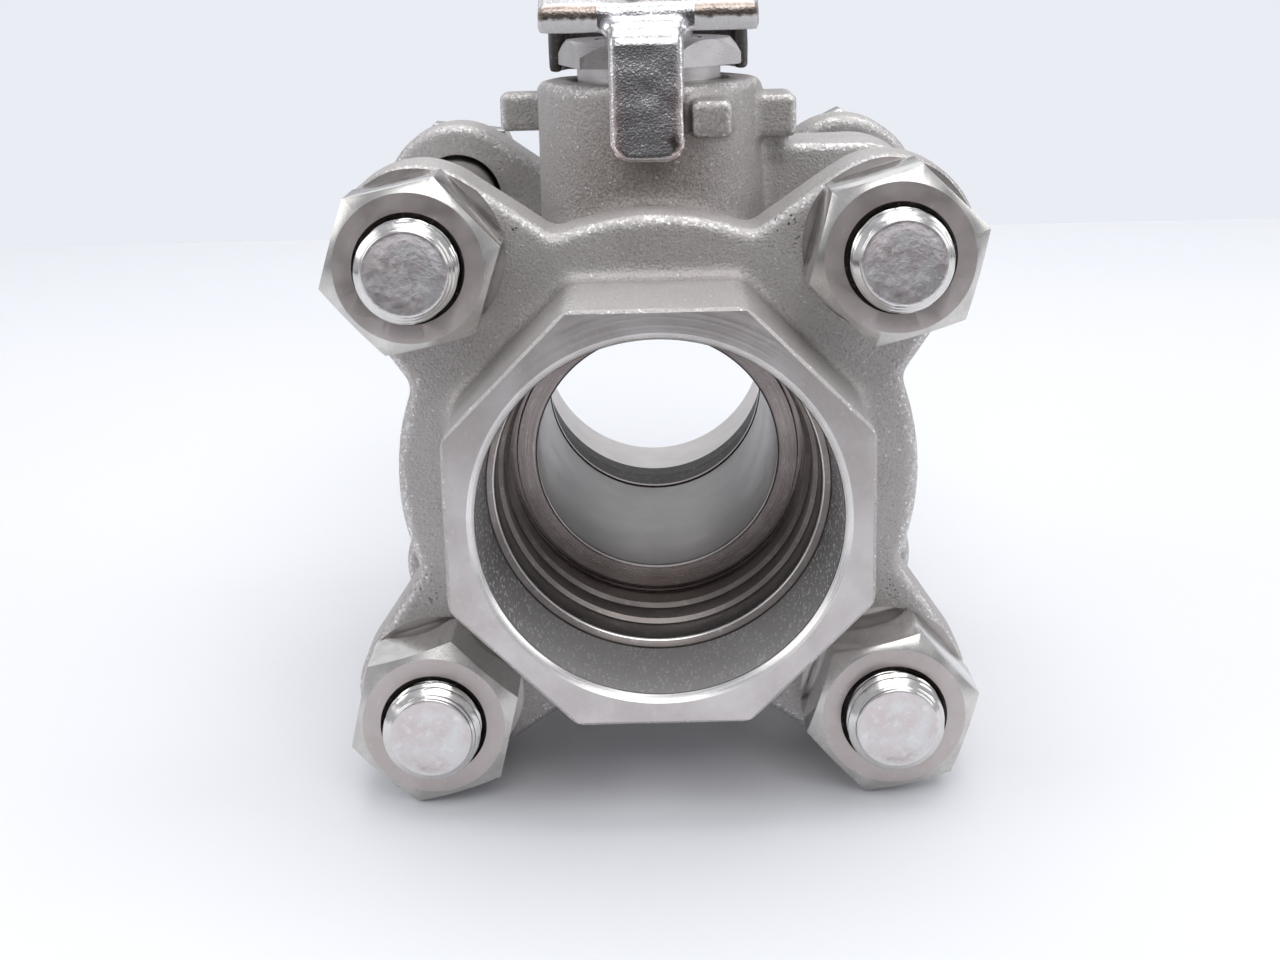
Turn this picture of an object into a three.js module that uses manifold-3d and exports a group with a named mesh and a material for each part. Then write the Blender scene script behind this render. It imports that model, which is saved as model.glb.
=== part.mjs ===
// Three-piece socket-weld ball valve, DN32 (1-1/4 inch), with a lever handle, shown open.
// Millimetres, +Z up. Pipe axis along Y, stem axis along Z, both through the centre of the ball.
import * as THREE from 'three';
import { mergeVertices } from 'three/addons/utils/BufferGeometryUtils.js';
import Module from 'manifold-3d';

const wasm = await Module();
wasm.setup();

// ---- driving dimensions -------------------------------------------------------------------
const GAP = 0.3; // clearance between pieces that touch on the real valve
const END_HALF = 51.5; // ball centre to a weld end
const OCTAGON_FLATS = 50; // across the flats of a weld end
const SOCKET_RADIUS = 21.4; // takes a 42.2 mm pipe
const FRONT_BORE = [SOCKET_RADIUS, SOCKET_RADIUS - 1.4, SOCKET_RADIUS - 2.4]; // socket, then two steps
const REAR_BORE = [18, 17.3, 16.6]; // the rear cap's own, narrower steps
const SOCKET_DEPTH = 15.6;
const BORE_RADIUS = 15.9; // flow passage
const BALL_RADIUS = 24.75;
const CAVITY_RADIUS = 25.6; // bore of the body round the ball
const BOLT_HALF_PITCH = 28.6; // bolts stand on a square, this far from both axes
const BOLT_RADIUS = 6; // M12
const BOLT_HOLE_RADIUS = 6.5;
const EAR_RADIUS = 10.8;
const DISC_RADIUS = 32.7; // flange disc between the ears
const ARM_HALF_WIDTH = 13; // half the width of an ear's arm where it leaves the disc
const CAP_FLANGE_OUTER = 31.1; // |y| of the flange face that a nut or bolt head sits on
const CAP_FLANGE_INNER = 21.15;
const BODY_HALF = CAP_FLANGE_INNER - GAP;
const COLLAR = 5.3; // width of the body's end collars
const COLLAR_RADIUS = 30.6;
const BARREL_RADIUS = 29; // body between its collars
const SEAT_FACE = 20.4; // |y| of a seat's flat outer face
const SEAT_BACK = 11;
const SEAT_RADIUS = CAVITY_RADIUS - 0.4;
const SEAL_RADIUS = 27.9; // outside of a body seal, in a counterbore of the body
const SEAL_DEPTH = 1.8;
const NECK_RADIUS = 15.1;
const NECK_TOP = 46.9;
const HINGE_EAR_RADIUS = 9.3; // ear of the body round its upper right bolt
const HINGE_EAR_FRONT = -2;
const HINGE_EAR_BACK = 14.5;
const STEM_RADIUS = 7;
const STEM_SHOULDER_RADIUS = 9.2; // the stem's shoulder is held under the body's ledge
const SHOULDER_BOTTOM = 25.2;
const SHOULDER_TOP = 29.5;
const LEDGE = 31.6;
const SLOT_HALF_WIDTH = 4.15; // the ball's slot for the stem's tang
const SLOT_FLOOR = 19.6;
const TIP_RADIUS = 6; // top of the stem, with two flats
const TIP_HALF_FLATS = 4.5;
const STEM_TOP = 66;
const PACKING_RADIUS = 9.7;
const PACKING_HEIGHT = 2.2;
const PACKING_FLOOR = 34.4;
const PACKING_COUNT = 3;
const GLAND_RING_BOTTOM = PACKING_FLOOR + GAP + PACKING_COUNT * (PACKING_HEIGHT + GAP);
const GLAND_RING_HEIGHT = 1.7;
const GLAND_HEX_FLATS = 22;
const GLAND_HEX_BOTTOM = 48.8;
const GLAND_HEX_TOP = 52.2;
const NUT_FLATS = 19;
const NUT_HEIGHT = 10.8;
const NUT_SETBACK = 9.4; // weld end to the nut's outer face
const HEAD_HEIGHT = 7.5;
const STUD_PROTRUSION = 3.9; // bolt end past the nut
const PLATE = 3.3; // thickness of the lever's sheet
const HUB_BOTTOM = 53;
const HUB_HALF_WIDTH = 14.05;
const HUB_FRONT = -13.5; // y of the hub's front edge
const SHOULDER_HALF_WIDTH = 17.9; // widest place of the lever, behind the hub
const ARM_HALF = 11; // half width of the lever's arm
const ARM_RISE = 14.1; // the arm runs this much higher than the hub
const LEVER_END = 144;
const GRIP_START = 64;
const GRIP_END = 147;
const TONGUE_FACE = -18.9; // y of the stop tongue's outer face
const TONGUE_LEFT = -5.2;
const TONGUE_RIGHT = 4.4;
const TONGUE_BOTTOM = 37.5;
const BEND_RADIUS = 4.7; // outside of the tongue's bend
const EDGE_THICKNESS = 1.85; // of the lever's down-turned edges and its skirt
const SKIRT_HALF_WIDTH = 13.75; // the skirt under the hub, open to the front
const SKIRT_FRONT = 7;
const SKIRT_BACK = 15;
const SKIRT_BOTTOM = 47.5;
const WASHER = 1.5;
const WASHER_RADIUS = 10;
const LEVER_NUT_HEIGHT = 6;

const FINE = 40; // segments round a large bore
const COARSE = 24; // segments round a bolt or a small hole

// ---- materials ----------------------------------------------------------------------------
const metal = (color, roughness) => new THREE.MeshStandardMaterial({ color, roughness, metalness: 1 });
const CAST_STEEL = metal('#a39e9a', 0.5);
const TURNED_STEEL = metal('#b3adaa', 0.32);
const BALL_STEEL = metal('#a9adb3', 0.25);
const BOLT_STEEL = metal('#bdbab6', 0.28);
const LEVER_STEEL = metal('#b9b7b5', 0.25);
const SEAT_MATERIAL = metal('#8d8480', 0.4);
const PTFE = new THREE.MeshStandardMaterial({ color: '#e9e7e1', roughness: 0.5, metalness: 0 });
const VINYL = new THREE.MeshStandardMaterial({ color: '#1d222b', roughness: 0.55, metalness: 0 });

// ---- solids -------------------------------------------------------------------------------
// A closed geometry as a manifold solid.
function solid(geometry) {
  geometry.deleteAttribute('normal');
  geometry.deleteAttribute('uv');
  const merged = mergeVertices(geometry, 1e-4);
  const index = merged.index.array;
  const triVerts = [];
  for (let i = 0; i < index.length; i += 3) {
    const [a, b, c] = [index[i], index[i + 1], index[i + 2]];
    if (a !== b && b !== c && c !== a) triVerts.push(a, b, c);
  }
  return new wasm.Manifold(new wasm.Mesh({
    numProp: 3,
    vertProperties: new Float32Array(merged.attributes.position.array),
    triVerts: new Uint32Array(triVerts),
  }));
}

const join = (...parts) => wasm.Manifold.union(parts);

// A profile of [radius, height] points, counter-clockwise, turned round the Z or the Y axis.
function turned(points, axis, segments = FINE) {
  const closed = [...points, points[0]].map(([r, h]) => new THREE.Vector2(r, h));
  const geometry = new THREE.LatheGeometry(closed, segments);
  if (axis === 'z') geometry.rotateX(Math.PI / 2);
  return solid(geometry);
}

// A ring or, with an inner radius of 0, a disc between two heights on the axis.
const ring = (inner, outer, low, high, axis, segments) =>
  turned([[inner, low], [outer, low], [outer, high], [inner, high]], axis, segments);

const rod = (radius, low, high, axis, segments) => ring(0, radius, low, high, axis, segments);

const extruded = (shape, depth, curveSegments) =>
  new THREE.ExtrudeGeometry(shape, { depth, bevelEnabled: false, curveSegments });

// An outline in the XZ plane extruded along Y.
const prismY = (shape, low, high, curveSegments) =>
  solid(extruded(shape, high - low, curveSegments).rotateX(Math.PI / 2).translate(0, high, 0));

// An outline in the XY plane extruded along Z.
const prismZ = (shape, low, high) => solid(extruded(shape, high - low).translate(0, 0, low));

// An outline in the YZ plane, drawn as [y, z] points, extruded along X.
function prismX(points, low, high) {
  const geometry = extruded(outline(points), high - low);
  return solid(geometry.rotateY(Math.PI / 2).rotateX(Math.PI / 2).translate(low, 0, 0));
}

const outline = (points) => new THREE.Shape(points.map(([x, y]) => new THREE.Vector2(x, y)));

function box(x0, x1, y0, y1, z0, z1) {
  const geometry = new THREE.BoxGeometry(x1 - x0, y1 - y0, z1 - z0);
  return solid(geometry.translate((x0 + x1) / 2, (y0 + y1) / 2, (z0 + z1) / 2));
}

// A regular polygon with its first corner at an angle above +X.
function polygon(sides, flats, firstCorner) {
  const radius = flats / 2 / Math.cos(Math.PI / sides);
  const corner = (k) => firstCorner + (2 * Math.PI * k) / sides;
  return outline(Array.from({ length: sides }, (_, k) =>
    [radius * Math.cos(corner(k)), radius * Math.sin(corner(k))]));
}

// ---- places -------------------------------------------------------------------------------
const degrees = THREE.MathUtils.degToRad;
// The bolts, named as seen from the front (looking along +Y). Each angle, in degrees above +X,
// is that of one corner of the nut or of the head.
const bolts = [
  { name: 'upper_left', sideX: -1, sideZ: 1, nutAngle: 12, headAngle: 53 },
  { name: 'upper_right', sideX: 1, sideZ: 1, nutAngle: 16, headAngle: 27 },
  { name: 'lower_left', sideX: -1, sideZ: -1, nutAngle: 16.4, headAngle: 8 },
  { name: 'lower_right', sideX: 1, sideZ: -1, nutAngle: 12.5, headAngle: 41 },
];

const group = new THREE.Group();
const valve = new THREE.Group(); // holds the pieces in ball-centred coordinates
valve.position.set(0, -(GRIP_END - END_HALF) / 2, BOLT_HALF_PITCH + EAR_RADIUS);
group.add(valve);

function add(name, part, material) {
  const { vertProperties, triVerts } = part.getMesh();
  const geometry = new THREE.BufferGeometry();
  geometry.setAttribute('position', new THREE.BufferAttribute(new Float32Array(vertProperties), 3));
  geometry.setIndex(new THREE.BufferAttribute(new Uint32Array(triVerts), 1));
  geometry.computeVertexNormals();
  const mesh = new THREE.Mesh(geometry, material);
  mesh.name = name;
  valve.add(mesh);
  return mesh;
}

// ---- flange outline -----------------------------------------------------------------------
// A disc with four arms on the diagonals, each ending in a round ear concentric with its bolt.
function flangeOutline() {
  const earDistance = BOLT_HALF_PITCH * Math.SQRT2;
  const alpha = Math.asin(ARM_HALF_WIDTH / DISC_RADIUS); // half angle of an arm at the disc
  const run = earDistance - DISC_RADIUS * Math.cos(alpha);
  // The arm's side leaves the disc at this angle and touches the ear's circle.
  const slope = Math.acos(EAR_RADIUS / Math.hypot(run, ARM_HALF_WIDTH)) - Math.atan2(run, ARM_HALF_WIDTH);
  const shape = new THREE.Shape();
  for (let k = 0; k < 4; k += 1) {
    const theta = Math.PI / 4 + (k * Math.PI) / 2;
    shape.absarc(0, 0, DISC_RADIUS, theta - Math.PI / 2 + alpha, theta - alpha, false);
    shape.absarc(earDistance * Math.cos(theta), earDistance * Math.sin(theta), EAR_RADIUS,
      theta - Math.PI / 2 + slope, theta + Math.PI / 2 - slope, false);
  }
  shape.closePath();
  return shape;
}

function boltHoles(low, high) {
  const hole = rod(BOLT_HOLE_RADIUS, low, high, 'y', COARSE);
  return join(...bolts.map(({ sideX, sideZ }) =>
    hole.translate(sideX * BOLT_HALF_PITCH, 0, sideZ * BOLT_HALF_PITCH)));
}

// ---- end caps -----------------------------------------------------------------------------
// The front cap: an octagonal weld end on a four-eared flange, with a short spigot to the seat.
function endCap([socket, middle, inner]) {
  const spigotEnd = -SEAT_FACE - GAP;
  const weldEnd = prismY(polygon(8, OCTAGON_FLATS, Math.PI / 8), -END_HALF, -CAP_FLANGE_OUTER);
  const flange = prismY(flangeOutline(), -CAP_FLANGE_OUTER, -CAP_FLANGE_INNER, 10);
  const spigot = rod(SEAT_RADIUS, -CAP_FLANGE_INNER, spigotEnd, 'y');
  // The stepped bore: chamfered socket, weld stop, then turned steps down to the seat.
  const socketEnd = -END_HALF + SOCKET_DEPTH;
  const bore = turned([
    [0, -END_HALF - 1],
    [socket + 1.5, -END_HALF - 1],
    [socket + 0.6, -END_HALF],
    [socket, -END_HALF + 0.8],
    [socket, socketEnd],
    [(socket + middle) / 2, socketEnd + 0.6],
    [middle, socketEnd + 0.8],
    [middle, -28],
    [inner, -27.4],
    [inner, spigotEnd + 1],
    [0, spigotEnd + 1],
  ], 'y');
  const holes = boltHoles(-CAP_FLANGE_OUTER - 1, -CAP_FLANGE_INNER + 1);
  return join(weldEnd, flange, spigot).subtract(bore).subtract(holes);
}

// ---- body ---------------------------------------------------------------------------------
// The ear that the body swings out on: round the upper right bolt, its top level to the neck.
function hingeEar() {
  const shape = new THREE.Shape();
  shape.moveTo(8, 12);
  shape.absarc(BOLT_HALF_PITCH, BOLT_HALF_PITCH, HINGE_EAR_RADIUS, -Math.PI / 4, Math.PI / 2, false);
  shape.lineTo(8, BOLT_HALF_PITCH + HINGE_EAR_RADIUS);
  shape.closePath();
  return prismY(shape, HINGE_EAR_FRONT, HINGE_EAR_BACK, 10);
}

function valveBody() {
  const collar = rod(COLLAR_RADIUS, BODY_HALF - COLLAR, BODY_HALF, 'y');
  const neck = turned([
    [0, 0],
    [NECK_RADIUS, 0],
    [NECK_RADIUS, NECK_TOP - 1],
    [NECK_RADIUS - 1, NECK_TOP],
    [0, NECK_TOP],
  ], 'z');
  const shell = join(
    rod(BARREL_RADIUS, -BODY_HALF, BODY_HALF, 'y'),
    collar,
    collar.mirror([0, 1, 0]),
    neck,
    hingeEar(),
    // stops for the lever's tongue: open, small, in front of the neck; closed, on its left
    box(5.3, 10.4, -17.6, -9, 40.4, 45.1),
    box(-20.7, -10, -TONGUE_LEFT + 0.4, 11, 39.7, 44.9),
    // plain lug on the right, above the hinge ear
    box(10, 19.5, -5.6, 5.5, 39.2, 44.8),
    box(10, 18.5, HINGE_EAR_FRONT, 5, 37, 40),
  );
  const sealPocket = rod(SEAL_RADIUS + GAP, BODY_HALF - SEAL_DEPTH - GAP, BODY_HALF + 1, 'y');
  const inside = join(
    rod(CAVITY_RADIUS, -BODY_HALF - 1, BODY_HALF + 1, 'y'),
    sealPocket,
    sealPocket.mirror([0, 1, 0]),
    rod(STEM_SHOULDER_RADIUS + 0.4, 20, LEDGE, 'z'),
    rod(STEM_RADIUS + 0.4, 20, PACKING_FLOOR + 1, 'z'),
    rod(PACKING_RADIUS + GAP, PACKING_FLOOR, NECK_TOP + 1, 'z'),
  );
  return shell.subtract(inside).subtract(boltHoles(-BODY_HALF - 1, BODY_HALF + 1));
}

// ---- ball and seats -----------------------------------------------------------------------
function ball() {
  const sphere = solid(new THREE.SphereGeometry(BALL_RADIUS, FINE, FINE / 2).rotateX(Math.PI / 2));
  const width = SLOT_HALF_WIDTH;
  const slot = box(-BALL_RADIUS, BALL_RADIUS, -width, width, SLOT_FLOOR, BALL_RADIUS + 1);
  return sphere.subtract(rod(BORE_RADIUS, -BALL_RADIUS, BALL_RADIUS, 'y')).subtract(slot);
}

// The front seat: flat outer face, hollowed to the ball.
function seat() {
  const clearance = new THREE.SphereGeometry(BALL_RADIUS + GAP, FINE, FINE / 2).rotateX(Math.PI / 2);
  return ring(BORE_RADIUS - 0.1, SEAT_RADIUS, -SEAT_FACE, -SEAT_BACK, 'y').subtract(solid(clearance));
}

const bodySeal = () =>
  ring(CAVITY_RADIUS + GAP, SEAL_RADIUS, -BODY_HALF, -BODY_HALF + SEAL_DEPTH, 'y', COARSE);

// ---- stem and gland -----------------------------------------------------------------------
// A round rod with two flats, the section of the stem's top.
function doubleD(radius, halfFlats, low, high) {
  const slab = box(-radius, radius, -halfFlats, halfFlats, low, high);
  return rod(radius, low, high, 'z', COARSE).intersect(slab);
}

function stem() {
  const tangHalf = SLOT_HALF_WIDTH - GAP;
  const tang = box(-7.5, 7.5, -tangHalf, tangHalf, SLOT_FLOOR + 0.4, SHOULDER_BOTTOM);
  const shaft = turned([
    [0, SHOULDER_BOTTOM],
    [STEM_SHOULDER_RADIUS, SHOULDER_BOTTOM],
    [STEM_SHOULDER_RADIUS, SHOULDER_TOP],
    [STEM_RADIUS, SHOULDER_TOP],
    [STEM_RADIUS, GLAND_HEX_TOP],
    [0, GLAND_HEX_TOP],
  ], 'z');
  return join(tang, shaft, doubleD(TIP_RADIUS, TIP_HALF_FLATS, GLAND_HEX_TOP, STEM_TOP));
}

function glandNut() {
  const bottom = GLAND_RING_BOTTOM + GLAND_RING_HEIGHT + GAP;
  const shank = rod(PACKING_RADIUS, bottom, GLAND_HEX_BOTTOM, 'z');
  const hex = prismZ(polygon(6, GLAND_HEX_FLATS, degrees(45)), GLAND_HEX_BOTTOM, GLAND_HEX_TOP);
  // the corners are turned off above
  const trim = turned([
    [0, GLAND_HEX_BOTTOM],
    [GLAND_HEX_FLATS / 2 + 1.8, GLAND_HEX_BOTTOM],
    [GLAND_HEX_FLATS / 2 + 1.8, GLAND_HEX_TOP - 2.1],
    [GLAND_HEX_FLATS / 2, GLAND_HEX_TOP],
    [0, GLAND_HEX_TOP],
  ], 'z');
  const hole = rod(STEM_RADIUS + GAP, bottom - 1, GLAND_HEX_TOP + 1, 'z');
  return join(shank, hex.intersect(trim)).subtract(hole);
}

// ---- fasteners ----------------------------------------------------------------------------
// A hexagon between two heights on Z, its corners turned off at both ends.
function hexagon(flats, low, high, firstCorner) {
  const inner = flats / 2 - 0.65;
  const corner = flats / Math.sqrt(3) + 0.1;
  const fall = (corner - inner) * Math.tan(degrees(30));
  const trim = turned([
    [0, low],
    [inner, low],
    [corner, low + fall],
    [corner, high - fall],
    [inner, high],
    [0, high],
  ], 'z', COARSE);
  return prismZ(polygon(6, flats, firstCorner), low, high).intersect(trim);
}

const nut = (height, bore, firstCorner) =>
  hexagon(NUT_FLATS, 0, height, firstCorner).subtract(rod(bore, -1, height + 1, 'z', COARSE));

// A hexagon-head bolt standing on Z: the head's seating face at 0, the shank above it.
function bolt(length, headAngle) {
  const shank = turned([
    [0, -0.5],
    [BOLT_RADIUS, -0.5],
    [BOLT_RADIUS, length - 0.9],
    [BOLT_RADIUS - 0.9, length],
    [0, length],
  ], 'z', COARSE);
  return join(hexagon(NUT_FLATS, -HEAD_HEIGHT, 0, headAngle), shank);
}

// ---- lever --------------------------------------------------------------------------------
function lever() {
  const top = HUB_BOTTOM + PLATE;
  const [bendStart, bendEnd] = [15, 50];
  const profile = prismX([
    [HUB_FRONT, HUB_BOTTOM],
    [bendStart, HUB_BOTTOM],
    [bendEnd, HUB_BOTTOM + ARM_RISE],
    [LEVER_END, HUB_BOTTOM + ARM_RISE],
    [LEVER_END, top + ARM_RISE],
    [bendEnd - 1, top + ARM_RISE],
    [bendStart - 1, top],
    [HUB_FRONT, top],
  ], -SHOULDER_HALF_WIDTH, SHOULDER_HALF_WIDTH);
  // the same profile, deeper, for the rolled-down edges behind the hub
  const edgeDrop = 2.6;
  const edges = prismX([
    [bendStart, HUB_BOTTOM - GAP],
    [bendEnd + 1, HUB_BOTTOM + ARM_RISE - edgeDrop],
    [LEVER_END, HUB_BOTTOM + ARM_RISE - edgeDrop],
    [LEVER_END, HUB_BOTTOM + ARM_RISE + 1],
    [bendEnd, HUB_BOTTOM + ARM_RISE + 1],
    [bendStart, HUB_BOTTOM + 1],
  ], -SHOULDER_HALF_WIDTH, SHOULDER_HALF_WIDTH);
  const plan = (inset) => {
    const side = [
      [HUB_HALF_WIDTH - inset, HUB_FRONT],
      [HUB_HALF_WIDTH - inset, 7],
      [SHOULDER_HALF_WIDTH - inset, 12],
      [SHOULDER_HALF_WIDTH - inset, 30],
      [ARM_HALF - inset, 52],
      [ARM_HALF - inset, LEVER_END - inset],
    ];
    return outline([...side, ...side.map(([x, y]) => [-x, y]).reverse()]);
  };
  const over = prismZ(plan(0), 40, 80);
  const under = over.subtract(prismZ(plan(EDGE_THICKNESS), 39, 81));
  // the tongue: bent down in front, its outer face a quarter round at the bend
  const bend = new THREE.Shape();
  bend.moveTo(HUB_FRONT + 1, top);
  bend.absarc(TONGUE_FACE + BEND_RADIUS, top - BEND_RADIUS, BEND_RADIUS, Math.PI / 2, Math.PI, false);
  bend.lineTo(TONGUE_FACE, TONGUE_BOTTOM);
  bend.lineTo(TONGUE_FACE + PLATE, TONGUE_BOTTOM);
  bend.lineTo(TONGUE_FACE + PLATE, HUB_BOTTOM - 1);
  bend.lineTo(TONGUE_FACE + PLATE + 1, HUB_BOTTOM);
  bend.lineTo(HUB_FRONT + 1, HUB_BOTTOM);
  const tongue = prismX(bend.getPoints(6).map(({ x, y }) => [x, y]), TONGUE_LEFT, TONGUE_RIGHT);
  // the skirt under the hub: two sides and a back
  const skirtInside = SKIRT_HALF_WIDTH - EDGE_THICKNESS;
  const skirtWall = SKIRT_BACK - EDGE_THICKNESS;
  const skirt = box(-SKIRT_HALF_WIDTH, SKIRT_HALF_WIDTH, SKIRT_FRONT, SKIRT_BACK,
    SKIRT_BOTTOM, HUB_BOTTOM + 1)
    .subtract(box(-skirtInside, skirtInside, 0, skirtWall, SKIRT_BOTTOM - 1, HUB_BOTTOM));
  const hole = doubleD(TIP_RADIUS + GAP, TIP_HALF_FLATS + GAP, HUB_BOTTOM - 1, top + 1);
  const sheet = join(profile.intersect(over), edges.intersect(under), tongue);
  return join(sheet, skirt).subtract(hole);
}

// A vinyl sleeve pushed over the lever's arm, open towards the hub.
function grip() {
  const middle = HUB_BOTTOM + ARM_RISE;
  const section = new THREE.Shape();
  const [halfWidth, halfHeight, corner] = [14.5, 6.2, 5];
  [[1, -1, 270], [1, 1, 0], [-1, 1, 90], [-1, -1, 180]].forEach(([sx, sz, start]) => {
    section.absarc(sx * (halfWidth - corner), middle + sz * (halfHeight - corner), corner,
      degrees(start), degrees(start + 90), false);
  });
  section.closePath();
  const room = box(-ARM_HALF - GAP, ARM_HALF + GAP, GRIP_START - 1, LEVER_END + GAP,
    middle - 2.6 - GAP, middle + PLATE + GAP);
  return prismY(section, GRIP_START, GRIP_END, 4).subtract(room);
}

// ---- assembly -----------------------------------------------------------------------------
add('body', valveBody(), CAST_STEEL);
add('front_end_cap', endCap(FRONT_BORE), CAST_STEEL);
add('rear_end_cap', endCap(REAR_BORE).mirror([0, 1, 0]), CAST_STEEL);
add('ball', ball(), BALL_STEEL);
add('front_seat', seat(), SEAT_MATERIAL);
add('rear_seat', seat().mirror([0, 1, 0]), SEAT_MATERIAL);
add('front_body_seal', bodySeal(), PTFE);
add('rear_body_seal', bodySeal().mirror([0, 1, 0]), PTFE);
add('stem', stem(), TURNED_STEEL);

const ringRound = (shaft, outer, bottom, height) =>
  ring(shaft + GAP, outer, bottom, bottom + height, 'z', COARSE);
const thrustBottom = SHOULDER_TOP + GAP;
add('stem_thrust_washer',
  ringRound(STEM_RADIUS, STEM_SHOULDER_RADIUS, thrustBottom, LEDGE - GAP - thrustBottom), PTFE);
for (let k = 0; k < PACKING_COUNT; k += 1) {
  const bottom = PACKING_FLOOR + GAP + k * (PACKING_HEIGHT + GAP);
  add(`packing_ring_${k + 1}`, ringRound(STEM_RADIUS, PACKING_RADIUS, bottom, PACKING_HEIGHT), PTFE);
}
add('gland_ring',
  ringRound(STEM_RADIUS, PACKING_RADIUS, GLAND_RING_BOTTOM, GLAND_RING_HEIGHT), TURNED_STEEL);
add('gland_nut', glandNut(), TURNED_STEEL);

const nutFace = -END_HALF + NUT_SETBACK;
const boltLength = CAP_FLANGE_OUTER + GAP - (nutFace - STUD_PROTRUSION);
for (const { name, sideX, sideZ, nutAngle, headAngle } of bolts) {
  const [x, z] = [sideX * BOLT_HALF_PITCH, sideZ * BOLT_HALF_PITCH];
  const toMinusY = Math.PI / 2; // turns a piece that stands on Z to point along -Y
  const studBolt = add(`bolt_${name}`, bolt(boltLength, degrees(headAngle)), BOLT_STEEL);
  studBolt.rotation.x = toMinusY;
  studBolt.position.set(x, CAP_FLANGE_OUTER + GAP, z);
  const boltNut = add(`nut_${name}`, nut(NUT_HEIGHT, BOLT_RADIUS + GAP, degrees(nutAngle)), BOLT_STEEL);
  boltNut.rotation.x = toMinusY;
  boltNut.position.set(x, nutFace + NUT_HEIGHT, z);
}

add('lever', lever(), LEVER_STEEL);
add('lever_grip', grip(), VINYL);
const leverTop = HUB_BOTTOM + PLATE;
add('lever_washer', ringRound(TIP_RADIUS, WASHER_RADIUS, leverTop + GAP, WASHER), BOLT_STEEL);
const leverNut = add('lever_nut', nut(LEVER_NUT_HEIGHT, TIP_RADIUS + GAP, degrees(20)), BOLT_STEEL);
leverNut.position.z = leverTop + 2 * GAP + WASHER;

export default group;
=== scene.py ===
"""Looks of a three-piece socket-weld ball valve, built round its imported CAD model."""

import math

import bmesh
import bpy
import numpy as np
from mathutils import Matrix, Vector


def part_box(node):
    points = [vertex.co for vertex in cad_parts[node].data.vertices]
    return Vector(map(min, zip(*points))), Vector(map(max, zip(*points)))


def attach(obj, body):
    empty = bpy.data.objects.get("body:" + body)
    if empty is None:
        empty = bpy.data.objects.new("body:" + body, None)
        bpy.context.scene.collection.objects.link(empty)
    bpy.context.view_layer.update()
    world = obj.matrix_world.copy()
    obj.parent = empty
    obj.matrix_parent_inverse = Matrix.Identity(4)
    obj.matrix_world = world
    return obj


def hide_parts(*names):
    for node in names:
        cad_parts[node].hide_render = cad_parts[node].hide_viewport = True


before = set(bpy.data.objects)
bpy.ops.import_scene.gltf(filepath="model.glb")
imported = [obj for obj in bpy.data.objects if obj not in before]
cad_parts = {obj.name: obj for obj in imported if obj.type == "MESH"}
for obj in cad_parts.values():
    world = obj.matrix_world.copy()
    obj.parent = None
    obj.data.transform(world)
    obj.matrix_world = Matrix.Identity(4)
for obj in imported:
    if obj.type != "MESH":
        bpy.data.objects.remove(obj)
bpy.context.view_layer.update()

import openvdb
from mathutils import Matrix, Vector

# ---- places, in millimetres from the centre of the ball ----
MM = 0.001


def node_box(node):
    """A CAD node's lowest and highest corners in row-frame millimetres."""
    low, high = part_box(node)
    return np.array(low) / MM, np.array(high) / MM


cap_low, cap_high = node_box("front_end_cap")
rear_high = node_box("rear_end_cap")[1]
BALL = Vector((0, (cap_low[1] + rear_high[1]) / 2, (cap_low[2] + cap_high[2]) / 2))
END = (rear_high[1] - cap_low[1]) / 2  # ball centre to a weld end
CAP_INNER = 21.15  # |y| of the face between cap and body
CAP_FACE = 31.1  # |y| of the spot-faced seat of a nut or a bolt head
CAST_FACE = 31.6  # |y| of the cap flange's cast face round it
BODY_HALF = (node_box("body")[1][1] - node_box("body")[0][1]) / 2
BODY_COLLAR = 5.3  # width of the collars at the body's ends
COLLAR_RADIUS = 30.6
NECK_TOP = node_box("body")[1][2] - BALL.z
NECK_RADIUS = 15.1
PITCH = 28.6  # each bolt stands this far from both axes
HINGE_EAR = 9.3  # radius of the body's ear round its upper right bolt
SPOT_RADIUS = 10.6
EAR = cap_high[0] - PITCH
DISC = 32.7
OCTAGON = 25.0  # half the width across the flats
BORE = 15.9  # radius of the flow passage
BALL_RADIUS = 24.75
SEAT_FACE = 20.4  # |y| of a seat's flat face
CAVITY = 25.6  # bore of the body round the ball
BOLT_HOLE = 6.5
SOCKET = 21.4
SOCKET_DEPTH = 15.6
FRONT_BORE = (SOCKET, SOCKET - 1.2, SOCKET - 1.75, SOCKET - 2.3)  # socket, weld stop and two steps
REAR_BORE = (18.0, 17.35, 17.0, 16.6)
NUT_FLATS = 19.0
NUT_RING = 8.85  # radius of the flat ring on a nut's or a head's face
NUT_FRONT = node_box("nut_upper_left")[0][1] - BALL.y
NUT_BACK = node_box("nut_upper_left")[1][1] - BALL.y
STUD_END = node_box("bolt_upper_left")[0][1] - BALL.y
HEAD_END = node_box("bolt_upper_left")[1][1] - BALL.y
BOLT_PITCH = 1.75  # thread
STEM_TOP = node_box("stem")[1][2] - BALL.z
PLATE = 3.3  # thickness of the lever's sheet
HUB_BOTTOM = node_box("lever_washer")[0][2] - BALL.z - 0.3 - PLATE
GLAND_LOW, GLAND_TOP = (corner[2] - BALL.z for corner in node_box("gland_nut"))
GLAND_HEX = 3.4  # height of its hexagon
LEVER_END = node_box("lever")[1][1] - BALL.y
GRIP_LOW = node_box("lever_grip")[0] - np.array(BALL)
GRIP_HIGH = node_box("lever_grip")[1] - np.array(BALL)
CORNERS = {"upper_left": (-1, 1), "upper_right": (1, 1), "lower_left": (-1, -1), "lower_right": (1, -1)}
NUT_ANGLE = {"upper_left": 12, "upper_right": 16, "lower_left": 16.4, "lower_right": 12.5}
HEAD_ANGLE = {"upper_left": 53, "upper_right": 27, "lower_left": 8, "lower_right": 41}


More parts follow.
